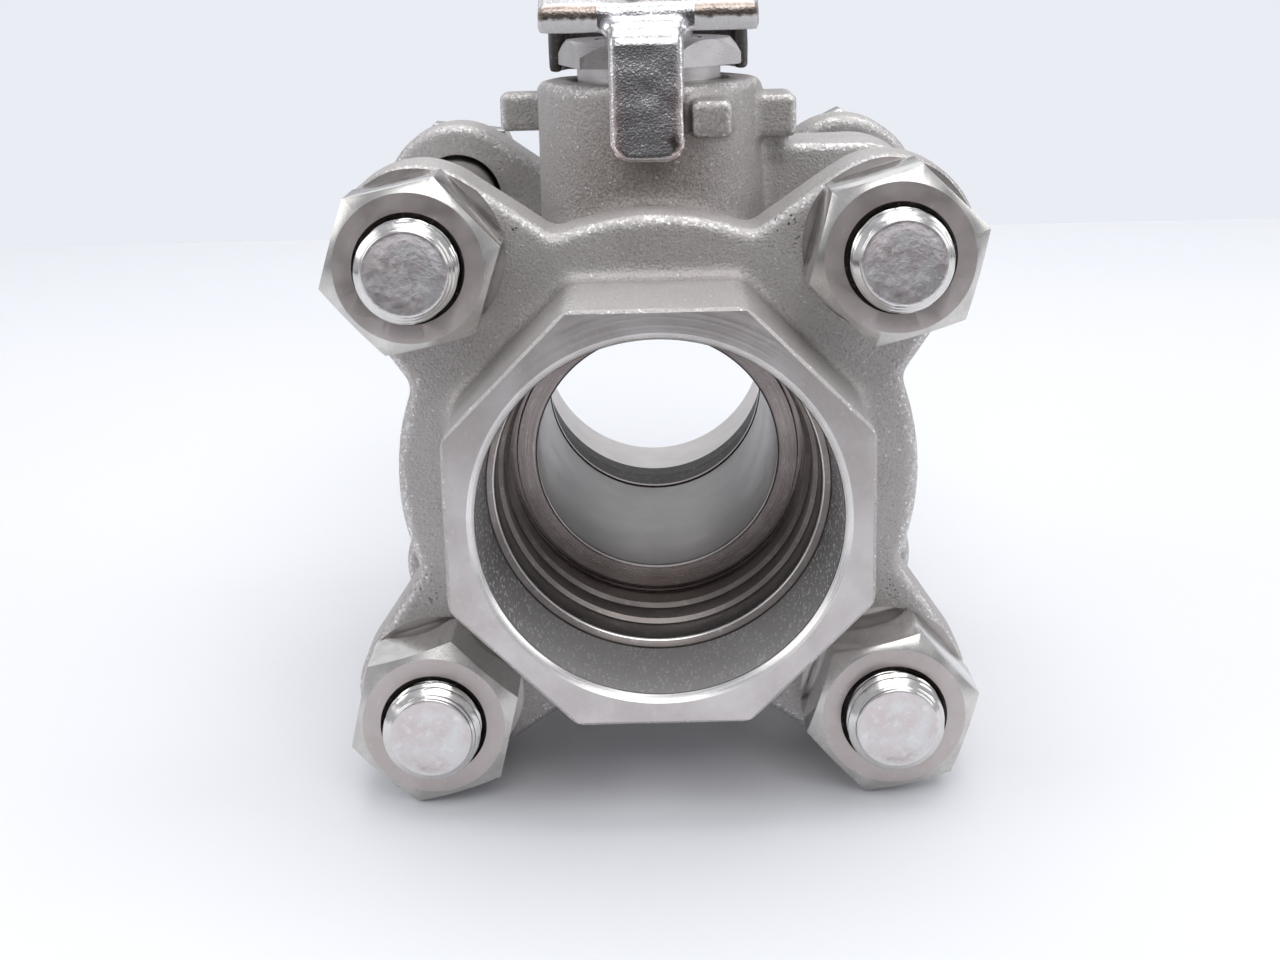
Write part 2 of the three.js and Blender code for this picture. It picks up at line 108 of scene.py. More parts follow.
# ---- distance fields: cast and pressed shapes with fillets ----
class Field:
    """A box of space, in ball-centred millimetres, sampled every step."""

    def __init__(self, low, high, step):
        self.low, self.step = np.array(low, float), step
        counts = [int(math.ceil((b - a) / step)) + 1 for a, b in zip(low, high)]
        axes = [np.arange(n, dtype=np.float32) * step + a for n, a in zip(counts, low)]
        self.x, self.y, self.z = np.meshgrid(*axes, indexing="ij", sparse=True)

    def bend_at(self, distance, points):
        """How sharply the surface bends outward near each point, from 0 (flat) to 1 (1 mm radius)."""
        bend = -6.0 * distance
        for axis in range(3):
            bend = bend + np.roll(distance, 1, axis) + np.roll(distance, -1, axis)
        place = np.rint((points - self.low) / self.step).astype(int)
        place = np.clip(place, 1, np.array(distance.shape) - 2)
        return np.clip(bend[tuple(place.T)] / self.step**2, 0, 1)

    def mark_edges(self, obj, distance):
        """Stores that bend at every point, for the materials to wear the edges by and to paint a highlight
        on them.
        """
        count = len(obj.data.vertices)
        points = np.empty(count * 3, np.float32)
        obj.data.vertices.foreach_get("co", points)
        mark = obj.data.attributes.new("edge", "FLOAT", "POINT")
        bend = self.bend_at(distance, points.reshape(-1, 3) / MM)
        mark.data.foreach_set("value", bend.astype(np.float32))

    def mesh(self, distance, name):
        """The surface where the distance is zero, as a mesh object in the row frame."""
        grid = openvdb.FloatGrid(background=3 * self.step)
        grid.copyFromArray(np.clip(distance, -3 * self.step, 3 * self.step).astype(np.float32))
        points, triangles, quads = grid.convertToPolygons(isovalue=0.0, adaptivity=0.0)
        points = (points * self.step + self.low) * MM
        data = bpy.data.meshes.new(name)
        data.from_pydata(points.tolist(), [], quads.tolist() + triangles.tolist())
        data.update()
        return new_object(name, data, BALL)


def length(*parts):
    return np.sqrt(sum(p * p for p in parts))


def blend_union(a, b, fillet):
    """Union with a fillet about as large as given."""
    h = np.clip(0.5 + 0.5 * (b - a) / fillet, 0, 1)
    return b + (a - b) * h - fillet * h * (1 - h)


def rounded_cross(a, b, radius):
    """Intersection of two fields whose common edge is rounded."""
    p, q = a + radius, b + radius
    return np.minimum(np.maximum(p, q), 0) + length(np.maximum(p, 0), np.maximum(q, 0)) - radius


def slab(along, low, high):
    return np.abs(along - (low + high) / 2) - (high - low) / 2


def rounded_box(field, low, high, radius):
    parts = []
    for along, a, b in zip((field.x, field.y, field.z), low, high):
        parts.append(slab(along, a, b) + radius)
    outside = length(*[np.maximum(p, 0) for p in parts])
    inside = np.minimum(np.maximum(np.maximum(parts[0], parts[1]), parts[2]), 0)
    return outside + inside - radius


def distance_to_path(a, b, path):
    """Plane distance from (a, b) to an open run of straight stretches."""
    best = None
    for (a0, b0), (a1, b1) in zip(path, path[1:]):
        run_a, run_b = a1 - a0, b1 - b0
        t = np.clip(((a - a0) * run_a + (b - b0) * run_b) / (run_a**2 + run_b**2), 0, 1)
        here = length(a - a0 - t * run_a, b - b0 - t * run_b)
        best = here if best is None else np.minimum(best, here)
    return best


def polygon_distance(a, b, corners):
    """Signed plane distance to a closed outline, negative inside."""
    inside = np.zeros(np.broadcast_shapes(a.shape, b.shape), bool)
    for (a0, b0), (a1, b1) in zip(corners, corners[1:] + corners[:1]):
        if b0 == b1:
            continue
        crossing = (b0 > b) != (b1 > b)
        inside ^= crossing & (a < (a1 - a0) * (b - b0) / (b1 - b0) + a0)
    edge = distance_to_path(a, b, corners + corners[:1])
    return np.where(inside, -edge, edge)


def fillet_path(start, corner, stop, radius, count=8):
    """Points of the round bend of that radius at a corner between two straight stretches."""
    start, corner, stop = (Vector(p) for p in (start, corner, stop))
    before, after = (start - corner).normalized(), (stop - corner).normalized()
    half = before.angle(after) / 2
    reach = radius / math.tan(half)
    centre = corner + (before + after).normalized() * (radius / math.sin(half))
    first, last = corner + before * reach - centre, corner + after * reach - centre
    return [tuple(centre + first.slerp(last, k / count)) for k in range(count + 1)]


def tapered_arm(x, z, from_distance, from_radius, to_distance, to_radius, angle):
    """Plane distance to a round-ended arm along a direction, wider at its start."""
    along = x * math.cos(angle) + z * math.sin(angle) - from_distance
    across = np.abs(-x * math.sin(angle) + z * math.cos(angle))
    reach = to_distance - from_distance
    sine = (from_radius - to_radius) / reach
    cosine = math.sqrt(1 - sine * sine)
    side = -sine * across + cosine * along
    start = length(across, along) - from_radius
    end = length(across, along - reach) - to_radius
    flank = across * cosine + along * sine - from_radius
    return np.where(side < 0, start, np.where(side > cosine * reach, end, flank))


def flange_plan(x, z):
    """Plane distance to the disc with its four ears."""
    plan = length(x, z) - DISC
    for k in range(4):
        angle = math.pi / 4 + k * math.pi / 2
        arm = tapered_arm(x, z, 20, 14.6, PITCH * math.sqrt(2), EAR, angle)
        plan = blend_union(plan, arm, 1.2)
    return plan


def octagon_plan(x, z, half, corner):
    """Plane distance to an octagon with slightly rounded corners."""
    sides = []
    for k in range(4):
        angle = k * math.pi / 4
        sides.append(np.abs(x * math.cos(angle) + z * math.sin(angle)) - half)
    plan = sides[0]
    for side in sides[1:]:
        plan = -blend_union(-plan, -side, corner)
    return plan


# ---- mesh tools ----
def new_object(name, data, centre):
    """An object whose origin is at a centre given in row-frame millimetres."""
    made = bpy.data.objects.new(name, data)
    made.location = Vector(centre) * MM
    bpy.context.scene.collection.objects.link(made)
    return made


def apply_modifiers(obj):
    graph = bpy.context.evaluated_depsgraph_get()
    data = bpy.data.meshes.new_from_object(obj.evaluated_get(graph))
    obj.modifiers.clear()
    old, obj.data = obj.data, data
    bpy.data.meshes.remove(old)


def boolean(obj, tool, operation="DIFFERENCE"):
    modifier = obj.modifiers.new("cut", "BOOLEAN")
    modifier.operation, modifier.object, modifier.solver = operation, tool, "MANIFOLD"
    apply_modifiers(obj)
    bpy.data.objects.remove(tool)


TURNS = {
    "z": Matrix.Identity(4),
    "y": Matrix.Rotation(-math.pi / 2, 4, "X"),
    "-y": Matrix.Rotation(math.pi / 2, 4, "X"),
}


def ring(bm, radius, height, segments, start=0.0):
    turns = [start + 2 * math.pi * k / segments for k in range(segments)]
    return [bm.verts.new((radius * math.cos(turn), radius * math.sin(turn), height)) for turn in turns]


def stitch(bm, low, high):
    """Faces between two rings of points, either of which may be one point repeated."""
    for k in range(len(low)):
        n = (k + 1) % len(low)
        bm.faces.new(list(dict.fromkeys((low[k], low[n], high[n], high[k]))))


def lathe(name, profile, axis, segments=128, offset=(0, 0, 0)):
    """A closed [radius, height] outline, counter-clockwise, turned round an axis through offset."""
    bm = bmesh.new()
    rows = []
    for radius, height in profile:
        if radius < 1e-6:
            rows.append([bm.verts.new((0, 0, height))] * segments)
        else:
            rows.append(ring(bm, radius, height, segments))
    for low, high in zip(rows, rows[1:] + rows[:1]):
        if low[0] is not low[1] or high[0] is not high[1]:
            stitch(bm, low, high)
    return finish_mesh(name, bm, axis, offset)


def finish_mesh(name, bm, axis, offset=(0, 0, 0)):
    """The object of a bmesh drawn in millimetres round Z, turned to its axis, offset from the ball."""
    bmesh.ops.recalc_face_normals(bm, faces=bm.faces)
    bmesh.ops.transform(bm, matrix=Matrix.Scale(MM, 4) @ TURNS[axis], verts=bm.verts)
    data = bpy.data.meshes.new(name)
    bm.to_mesh(data)
    bm.free()
    return new_object(name, data, BALL + Vector(offset))


def cuboid(name, low, high):
    bm = bmesh.new()
    bmesh.ops.create_cube(bm, size=1)
    size = Vector(high) - Vector(low)
    place = Matrix.Translation((Vector(high) + Vector(low)) / 2) @ Matrix.Diagonal((*size, 1))
    bmesh.ops.transform(bm, matrix=place, verts=bm.verts)
    return finish_mesh(name, bm, "z")


def rod(name, radius, low, high, axis, offset=(0, 0, 0), segments=96):
    return lathe(name, [(0, low), (radius, low), (radius, high), (0, high)], axis, segments, offset)


def soften(obj, angle=35, bevel=None):
    """Smooth shading with sharp creases, and a small real bevel on them if asked."""
    if bevel:
        modifier = obj.modifiers.new("bevel", "BEVEL")
        modifier.width, modifier.segments = bevel * MM, 2
        modifier.limit_method, modifier.angle_limit = "ANGLE", math.radians(angle)
        apply_modifiers(obj)
    obj.data.shade_smooth()
    obj.data.set_sharp_from_angle(angle=math.radians(angle))


def painted(obj, *materials):
    obj.data.materials.clear()
    for material in materials:
        obj.data.materials.append(material)


def finished(obj, material, angle, bevel=None):
    painted(obj, material)
    soften(obj, angle, bevel)
    return obj


def choose_material(obj, rule):
    """Gives each face the material number that rule(x, y, z, normals) returns, in its own mm."""
    count = len(obj.data.polygons)
    centres, normals = np.empty(count * 3, np.float32), np.empty(count * 3, np.float32)
    obj.data.polygons.foreach_get("center", centres)
    obj.data.polygons.foreach_get("normal", normals)
    numbers = rule(*(centres.reshape(-1, 3) / MM).T, normals.reshape(-1, 3))
    obj.data.polygons.foreach_set("material_index", numbers.astype(np.int32))


def settle(obj, body, slot, *nodes):
    """The piece stands for its CAD nodes and moves with their body."""
    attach(obj, body)
    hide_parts(*nodes)


def ripple(obj, size, height, seed):
    """Pushes each point along its normal by smooth noise: the low waves of a cast surface."""
    count = len(obj.data.vertices)
    points, normals = np.empty(count * 3, np.float32), np.empty(count * 3, np.float32)
    obj.data.vertices.foreach_get("co", points)
    obj.data.vertex_normals.foreach_get("vector", normals)
    points, normals = points.reshape(-1, 3), normals.reshape(-1, 3)
    cells = points / (size * MM) + 50.0
    lattice = np.random.default_rng(seed).uniform(-1, 1, (100, 100, 100))
    corner = np.floor(cells).astype(int)
    t = cells - corner
    t = t * t * (3 - 2 * t)
    value = np.zeros(count)
    for shift in np.ndindex(2, 2, 2):
        weight = np.prod(np.where(shift, t, 1 - t), axis=1)
        value += weight * lattice[tuple((corner + shift).T % 100)]
    moved = points + normals * (value * height * MM)[:, None]
    obj.data.vertices.foreach_set("co", moved.astype(np.float32).ravel())
    obj.data.update()


# ---- materials ----
class Graph:
    """The nodes of a material or of the world."""

    def __init__(self, tree):
        self.nodes, self.links = tree.nodes, tree.links

    def feed(self, socket, value):
        if isinstance(value, bpy.types.NodeSocket):
            self.links.new(value, socket)
        else:
            socket.default_value = value

    def math(self, operation, *inputs):
        node = self.nodes.new("ShaderNodeMath")
        node.operation = operation
        for socket, value in zip(node.inputs, inputs):
            self.feed(socket, value)
        return node.outputs[0]

    def times(self, first, second):
        return self.math("MULTIPLY", first, second)

    def plus(self, first, second):
        return self.math("ADD", first, second)

    def vector(self, operation, first, second):
        """Vector maths with a constant second vector."""
        node = self.nodes.new("ShaderNodeVectorMath")
        node.operation = operation
        self.links.new(first, node.inputs[0])
        node.inputs[1].default_value = second
        return node.outputs

    def span(self, value, low=0.3, high=0.7, to_low=0.0, to_high=1.0):
        node = self.nodes.new("ShaderNodeMapRange")
        for key, number in zip(("From Min", "From Max", "To Min", "To Max"), (low, high, to_low, to_high)):
            node.inputs[key].default_value = number
        self.links.new(value, node.inputs["Value"])
        return node.outputs["Result"]

    def tint(self, factor, first, second):
        node = self.nodes.new("ShaderNodeMix")
        node.data_type = "RGBA"
        self.feed(node.inputs["Factor"], factor)
        for socket, value in zip((node.inputs[6], node.inputs[7]), (first, second)):
            self.feed(socket, (*value, 1) if isinstance(value, tuple) else value)
        return node.outputs[2]


class Paint(Graph):
    """A metal or plastic material, built node by node. Lengths are millimetres."""

    def __init__(self, name, metallic, roughness):
        self.material = bpy.data.materials.new(name)
        self.material.use_nodes = True
        super().__init__(self.material.node_tree)
        self.shader = self.nodes["Principled BSDF"]
        self.shader.inputs["Metallic"].default_value = metallic
        self.shader.inputs["Roughness"].default_value = roughness
        place = self.nodes.new("ShaderNodeTexCoord").outputs["Object"]
        self.position = self.vector("MULTIPLY", place, [1 / MM] * 3)[0]

    def distance(self, place):
        """Distance in mm from a place given in the object's own millimetres."""
        return self.vector("DISTANCE", self.position, place)["Value"]

    def component(self, axis):
        """The position along X, Y or Z."""
        split = self.nodes.new("ShaderNodeSeparateXYZ")
        self.links.new(self.position, split.inputs[0])
        return split.outputs[axis]

    def noise(self, per_mm, detail=2.0, vector=None, roughness=0.5):
        node = self.nodes.new("ShaderNodeTexNoise")
        node.inputs["Scale"].default_value = per_mm
        node.inputs["Detail"].default_value = detail
        node.inputs["Roughness"].default_value = roughness
        self.links.new(vector or self.position, node.inputs["Vector"])
        return node.outputs["Fac"]

    def cells(self, per_mm, output="Distance", vector=None):
        node = self.nodes.new("ShaderNodeTexVoronoi")
        node.inputs["Scale"].default_value = per_mm
        self.links.new(vector or self.position, node.inputs["Vector"])
        return node.outputs[output]

    def channel(self, colour):
        """The first channel of a colour: a steady random number for each cell."""
        node = self.nodes.new("ShaderNodeSeparateColor")
        self.links.new(colour, node.inputs[0])
        return node.outputs[0]

    def marked_edges(self):
        """1 on the rounded edges of a casting, 0 on its flat faces."""
        node = self.nodes.new("ShaderNodeAttribute")
        node.attribute_name = "edge"
        return node.outputs["Fac"]

    def lathe_marks(self, axis, per_mm=6.0):
        """Fine streaks that run round the object's own Y or Z axis, as a turning tool leaves them."""
        aside, across = self.component("X"), self.component("Z" if axis == "y" else "Y")
        radius = self.math("SQRT", self.plus(self.times(aside, aside), self.times(across, across)))
        join = self.nodes.new("ShaderNodeCombineXYZ")
        self.feed(join.inputs[0], radius)
        self.feed(join.inputs[1], self.times(self.math("ARCTAN2", across, aside), 0.06))
        self.feed(join.inputs[2], self.component(axis.upper()))
        return self.noise(per_mm, 3.0, join.outputs[0], 0.6)

    def bump(self, *layers):
        """Stacks (height field, strength, depth in mm) layers."""
        normal = None
        for height, strength, depth in layers:
            node = self.nodes.new("ShaderNodeBump")
            node.inputs["Strength"].default_value = strength
            node.inputs["Distance"].default_value = depth * MM
            self.links.new(height, node.inputs["Height"])
            if normal:
                self.links.new(normal, node.inputs["Normal"])
            normal = node.outputs["Normal"]
        self.links.new(normal, self.shader.inputs["Normal"])

    def colour(self, value):
        self.base = value
        self.feed(self.shader.inputs["Base Color"], value)

    def layer(self, factor, colour):
        """Puts another colour over the present one, where the factor says."""
        self.colour(self.tint(factor, self.base, colour))

    def rough(self, value):
        self.links.new(value, self.shader.inputs["Roughness"])

    def rough_by(self, noise, smooth, coarse):
        self.rough(self.span(noise, 0.3, 0.7, smooth, coarse))


def cast_steel():
    """Bead-blasted investment casting: fine grain, brown mottling, pits, worn edges with a painted
    highlight, and small painted highlights on random cells.
    """
    paint = Paint("cast_steel", 1.0, 0.5)
    grain = paint.noise(3.0, 2.0, roughness=0.6)
    coarse = paint.noise(1.6, 3.0, roughness=0.7)
    clouds = paint.noise(0.10, 4.0)
    stain = paint.noise(0.05, 3.0)
    shell = paint.noise(0.75, 2.0)
    level = paint.channel(paint.cells(4.2, "Color"))
    edge = paint.marked_edges()
    # The rounded edges are partly worn and partly a painted highlight: lighter where the edge mark and
    # coarse noise are high.
    worn_and_highlit_edge = paint.plus(coarse, paint.times(edge, 0.22))
    worn_and_highlit_edge = paint.span(worn_and_highlit_edge, 0.66, 0.80)
    # painted highlights: a few random cells, more of them on the edges, painted near white
    painted_glint = paint.span(paint.plus(level, paint.times(edge, 0.06)), 0.985, 1.01)
    pits = paint.span(paint.plus(paint.cells(1.5), paint.times(grain, 0.5)), 0.52, 0.40)
    pit = paint.times(pits, paint.span(paint.noise(0.17, 2.0), 0.70, 0.74))
    for place, reach in PIT_PLACES:
        near = paint.plus(paint.distance(place), paint.times(paint.noise(0.7, 2.0), 3.0))
        pit = paint.math("MAXIMUM", pit, paint.times(pits, paint.span(near, reach + 1.5, reach * 0.7)))
    paint.colour(paint.tint(paint.span(clouds), (0.45, 0.425, 0.415), (0.56, 0.54, 0.53)))
    paint.layer(paint.span(stain, 0.50, 0.66, 0.0, 0.45), (0.38, 0.335, 0.315))
    # darker brown patch round the front of the neck, below the tongue
    neck = paint.plus(paint.distance(NECK_DARK_PATCH), paint.times(stain, 8.0))
    paint.layer(paint.span(neck, 22, 9, 0.0, 0.85), (0.275, 0.23, 0.21))
    paint.layer(paint.span(grain, 0.35, 0.75, 0.0, 0.6), (0.68, 0.66, 0.65))
    paint.layer(paint.span(grain, 0.42, 0.22, 0.0, 0.6), (0.26, 0.24, 0.235))
    # painted highlight and wear on the edges, then painted highlights on random cells
    paint.layer(paint.times(worn_and_highlit_edge, 0.45), (0.86, 0.85, 0.84))
    paint.layer(paint.times(painted_glint, 0.8), (0.93, 0.93, 0.93))
    paint.layer(paint.times(pit, 0.8), (0.06, 0.05, 0.045))
    rough = paint.span(grain, 0.3, 0.7, 0.54, 0.66)
    bright = paint.math("MAXIMUM", paint.times(painted_glint, 0.22), paint.times(worn_and_highlit_edge, 0.18))
    paint.rough(paint.math("SUBTRACT", rough, bright))
    pit_depth = paint.math("SUBTRACT", 1.0, pit)
    paint.bump((shell, 0.35, 0.12), (coarse, 0.5, 0.14), (grain, 0.9, 0.12), (pit_depth, 0.8, 0.2))
    return paint.material


def turned_steel(name, axis, light=(0.68, 0.655, 0.645), dark=(0.56, 0.535, 0.525), roughness=0.32):
    """A face or bore cut on a lathe, with fine marks round its axis."""
    paint = Paint(name, 1.0, roughness)
    marks = paint.lathe_marks(axis)
    fine = paint.lathe_marks(axis, 22.0)
    smear = paint.noise(0.16, 4.0)
    scuff = paint.noise(1.4, 4.0, roughness=0.7)
    paint.colour(paint.tint(paint.span(smear, 0.40, 0.64), dark, light))
    paint.layer(paint.span(scuff, 0.56, 0.76, 0.0, 0.35), (0.86, 0.84, 0.83))
    paint.layer(paint.span(marks, 0.35, 0.65, 0.0, 0.35), light)
    paint.rough_by(marks, roughness - 0.07, roughness + 0.1)
    paint.bump((marks, 0.30, 0.02), (fine, 0.35, 0.008))
    return paint.material


def socket_steel():
    """The wall of the weld socket: mid grey, finely blasted, with small painted highlights, and painted
    lighter towards the bottom as a sheen.
    """
    paint = Paint("socket_steel", 1.0, 0.42)
    grain = paint.noise(5.5, 2.0)
    clouds = paint.noise(0.13, 3.0)
    drawn_out = paint.vector("MULTIPLY", paint.position, (1.0, 0.35, 1.0))[0]
    # painted highlights on a few random cells, drawn out along the bore
    level = paint.channel(paint.cells(4.2, "Color", drawn_out))
    painted_glint = paint.span(level, 0.82, 0.90)
    paint.colour(paint.tint(paint.span(clouds), (0.46, 0.445, 0.44), (0.56, 0.545, 0.54)))
    # painted sheen: the wall is lighter towards the bottom, where light glances off it
    paint.layer(paint.span(paint.component("Z"), -8, -18), (0.84, 0.825, 0.82))
    paint.layer(paint.span(grain, 0.40, 0.25, 0.0, 0.5), (0.34, 0.325, 0.32))
    paint.layer(painted_glint, (1.0, 1.0, 1.0))
    paint.rough_by(grain, 0.50, 0.58)
    paint.bump((grain, 0.35, 0.04))
    return paint.material


def bright_steel():
    """Drawn and rolled flats of bolts and nuts: nearly mirrors, with faint scuffs and shiny edges."""
    paint = Paint("bright_steel", 1.0, 0.15)
    scuff = paint.noise(0.5, 4.0, roughness=0.7)
    drawn = paint.lathe_marks("y", 2.5)
    paint.colour(paint.tint(paint.span(scuff), (0.62, 0.605, 0.585), (0.74, 0.725, 0.71)))
    paint.rough(paint.span(scuff, 0.3, 0.75, 0.12, 0.25))
    paint.bump((scuff, 0.12, 0.03), (drawn, 0.12, 0.01))
    return paint.material


def stud_end_steel():
    """Sheared end of a bolt: dished, mottled grey and brownish pink, scuffed."""
    paint = Paint("stud_end_steel", 1.0, 0.3)
    clouds = paint.noise(0.28, 5.0, roughness=0.65)
    streak = paint.noise(0.9, 4.0, roughness=0.7)
    paint.colour(paint.tint(paint.span(clouds, 0.38, 0.62), (0.68, 0.61, 0.605), (0.74, 0.735, 0.735)))
    paint.layer(paint.span(streak, 0.52, 0.72, 0.0, 0.8), (0.88, 0.87, 0.87))
    paint.layer(paint.span(streak, 0.33, 0.25, 0.0, 0.5), (0.3, 0.25, 0.24))
    paint.rough_by(streak, 0.3, 0.44)
    paint.bump((clouds, 0.5, 0.35), (streak, 0.45, 0.12), (paint.noise(5.0, 2.0), 0.3, 0.03))
    return paint.material


def nut_ring_steel(name, first, second, roughness):
    """A nut's turned face: brownish satin, with fine marks round the bolt and a few scratches."""
    paint = Paint(name, 1.0, roughness)
    clouds = paint.noise(0.25, 4.0)
    streak = paint.noise(1.3, 4.0, roughness=0.7)
    paint.colour(paint.tint(paint.span(clouds), first, second))
    paint.layer(paint.span(streak, 0.58, 0.74, 0.0, 0.5), (0.78, 0.76, 0.75))
    paint.rough_by(clouds, roughness - 0.05, roughness + 0.06)
    paint.bump((paint.noise(3.5, 3.0), 0.22, 0.03), (paint.noise(0.8, 2.0), 0.12, 0.05))
    return paint.material


def ball_steel():
    """The ground bore of the ball: smooth grey satin."""
    paint = Paint("ball_steel", 1.0, 0.36)
    clouds = paint.noise(0.15, 4.0)
    paint.colour(paint.tint(paint.span(clouds, 0.38, 0.62), (0.33, 0.315, 0.305), (0.43, 0.42, 0.41)))
    paint.rough_by(clouds, 0.34, 0.46)
    paint.bump((paint.noise(9.0, 2.0), 0.25, 0.01), (paint.lathe_marks("y", 9.0), 0.2, 0.01))
    return paint.material


def polished_sheet():
    """Barrel-polished pressed sheet: mirror bright, finely dimpled, a rust spot low on the tongue, a
    painted pinkish reflection on the tongue's flanks and small painted highlights.
    """
    paint = Paint("polished_sheet", 1.0, 0.2)
    peel = paint.noise(3.2, 3.0, roughness=0.65)
    dimple = paint.cells(3.4)
    clouds = paint.noise(0.2, 3.0)
    aside = paint.math("ABSOLUTE", paint.plus(paint.component("X"), 0.4))
    paint.colour(paint.tint(paint.span(clouds), (0.56, 0.545, 0.55), (0.70, 0.69, 0.70)))
    # painted reflection: the outer parts of the tongue's front face are painted lighter and pinkish
    front = paint.span(paint.component("Y"), TONGUE_FACE + 2, TONGUE_FACE + 1)
    flank = paint.times(paint.span(aside, 2.4, 3.4, 0.0, 0.7), front)
    paint.layer(flank, (0.80, 0.66, 0.64))
    # painted highlights on a few random cells
    sheet_highlight_cell = paint.channel(paint.cells(5.0, "Color"))
    paint.layer(paint.span(sheet_highlight_cell, 0.92, 0.95, 0.0, 0.7), (0.95, 0.95, 0.95))
    near = paint.distance((3.1, TONGUE_FACE, TONGUE_FOOT + 2.6))
    spot = paint.plus(near, paint.times(paint.noise(1.2, 3.0), 2.0))
    paint.layer(paint.span(spot, 2.2, 1.4, 0.0, 0.85), (0.12, 0.08, 0.055))
    paint.rough_by(peel, 0.12, 0.24)
    paint.bump((peel, 0.6, 0.06), (dimple, 0.45, 0.04))
    return paint.material


def sheared_steel():
    """The lever's cut front edge: bright torn metal below, a brown burnished band above."""
    paint = Paint("sheared_steel", 1.0, 0.4)
    wave = paint.times(paint.noise(1.1, 3.0), 1.1)
    height = paint.plus(paint.component("Z"), wave)
    band = paint.span(height, HUB_BOTTOM + 2.7, HUB_BOTTOM + 3.1)
    torn = paint.tint(paint.noise(2.6, 3.0), (0.72, 0.71, 0.71), (0.90, 0.89, 0.89))
    burnished = paint.tint(paint.noise(0.9, 3.0), (0.24, 0.17, 0.145), (0.62, 0.56, 0.50))
    paint.colour(paint.tint(band, torn, burnished))
    paint.rough(paint.span(band, 0.0, 1.0, 0.6, 0.25))
    paint.bump((paint.noise(2.6, 3.0), 0.6, 0.12))
    return paint.material


def plain_plastic(name, first, second, roughness, grain=4.0):
    paint = Paint(name, 0.0, roughness)
    clouds = paint.noise(0.4, 3.0)
    paint.colour(paint.tint(clouds, first, second))
    paint.rough_by(paint.noise(1.1, 3.0), roughness - 0.08, roughness + 0.08)
    paint.bump((paint.noise(grain, 3.0), 0.35, 0.05))
    return paint.material


TONGUE_FACE, TONGUE_FOOT = -18.9, 37.5  # the lever's stop tongue: its outer face's y, its lower end
NECK_DARK_PATCH = (-1, -15, 35)  # darker brown patch round the front of the neck, below the lever's tongue
# Clusters of pits in the front cap's cast face: centre and reach
PIT_PLACES = [((15.8, -31.6, 30.8), 3.6), ((-29.5, -31.6, -14.0), 3.2), ((29.5, -31.6, -15.3), 2.2)]
CAST = cast_steel()
TURNED_Y = turned_steel("turned_steel_y", "y", (0.67, 0.635, 0.625), (0.54, 0.50, 0.49), 0.37)
TURNED_Z = turned_steel("turned_steel_z", "z")
# painted shade: a darker copy of the turned steel for the front cap's bore beyond the socket
TURNED_SHADED = turned_steel("turned_steel_painted_shade", "y", (0.29, 0.26, 0.245), (0.21, 0.185, 0.175), 0.36)
# painted shade: near black for the rear cap's bore beyond its socket
PASSAGE_SHADED = turned_steel("passage_painted_shade", "y", (0.055, 0.048, 0.045), (0.035, 0.03, 0.028), 0.5)
# painted highlight: a lighter copy of the turned steel for the mouth and weld-stop rims
RIM_HIGHLIGHT = turned_steel("turned_rim_painted_highlight", "y", (0.76, 0.74, 0.735), (0.62, 0.60, 0.59), 0.26)
# painted light: the rear socket wall is pale as if lit through the open rear end
LIT_REAR_WALL = turned_steel("rear_socket_wall_painted_light", "y", (0.93, 0.895, 0.87), (0.84, 0.80, 0.77), 0.42)
SEAT = turned_steel("seat_ring", "y", (0.43, 0.375, 0.365), (0.33, 0.28, 0.27), 0.27)
SOCKET_WALL = socket_steel()
BRIGHT = bright_steel()
NUT_FACE = nut_ring_steel("nut_face", (0.51, 0.455, 0.44), (0.61, 0.555, 0.54), 0.42)
NUT_CHAMFER = nut_ring_steel("nut_chamfer", (0.50, 0.485, 0.46), (0.68, 0.665, 0.64), 0.26)
# painted shade: near black in a nut's countersink and bore
SHADED_THREAD = turned_steel("thread_painted_shade", "y", (0.10, 0.09, 0.085), (0.05, 0.045, 0.04), 0.4)
STUD_END_STEEL = stud_end_steel()
BALL_STEEL = ball_steel()
SHEET = polished_sheet()
SHEARED = sheared_steel()
# painted shade: near black for the skirt and the underside of the lever's hub
SHADED_SKIRT = turned_steel("skirt_painted_shade", "z", (0.16, 0.15, 0.145), (0.09, 0.085, 0.08), 0.5)
PTFE = plain_plastic("ptfe", (0.82, 0.81, 0.79), (0.9, 0.895, 0.88), 0.45)
VINYL = plain_plastic("vinyl", (0.010, 0.014, 0.028), (0.016, 0.022, 0.04), 0.42, 2.2)


# ---- cast pieces ----
def bolt_holes(target, low, high):
    for side_x, side_z in CORNERS.values():
        boolean(target, rod("hole", BOLT_HOLE, low, high, "y", (side_x * PITCH, 0, side_z * PITCH)))


def cap_bore_profile(socket, stop_rim, first_step, second_step):
    """[radius, y] of a front cap's stepped bore, with the crisp rims that turning leaves."""
    mouth, stop = -END, -END + SOCKET_DEPTH
    return [
        (0, mouth - 2), (socket + 2.6, mouth - 2), (socket + 0.95, mouth), (socket + 0.8, mouth + 0.12),
        (socket + 0.1, mouth + 0.62), (socket, mouth + 0.85), (socket - 0.05, stop - 0.1),
        (socket - 0.2, stop + 0.2), (stop_rim + 0.3, stop + 0.5), (stop_rim + 0.15, stop + 0.6),
        (stop_rim, stop + 0.85), (stop_rim, mouth + 21.6), (first_step, mouth + 22.0),
        (first_step, mouth + 26.0), (second_step, mouth + 26.5), (second_step, -CAP_INNER + 1),
        (0, -CAP_INNER + 1),
    ]


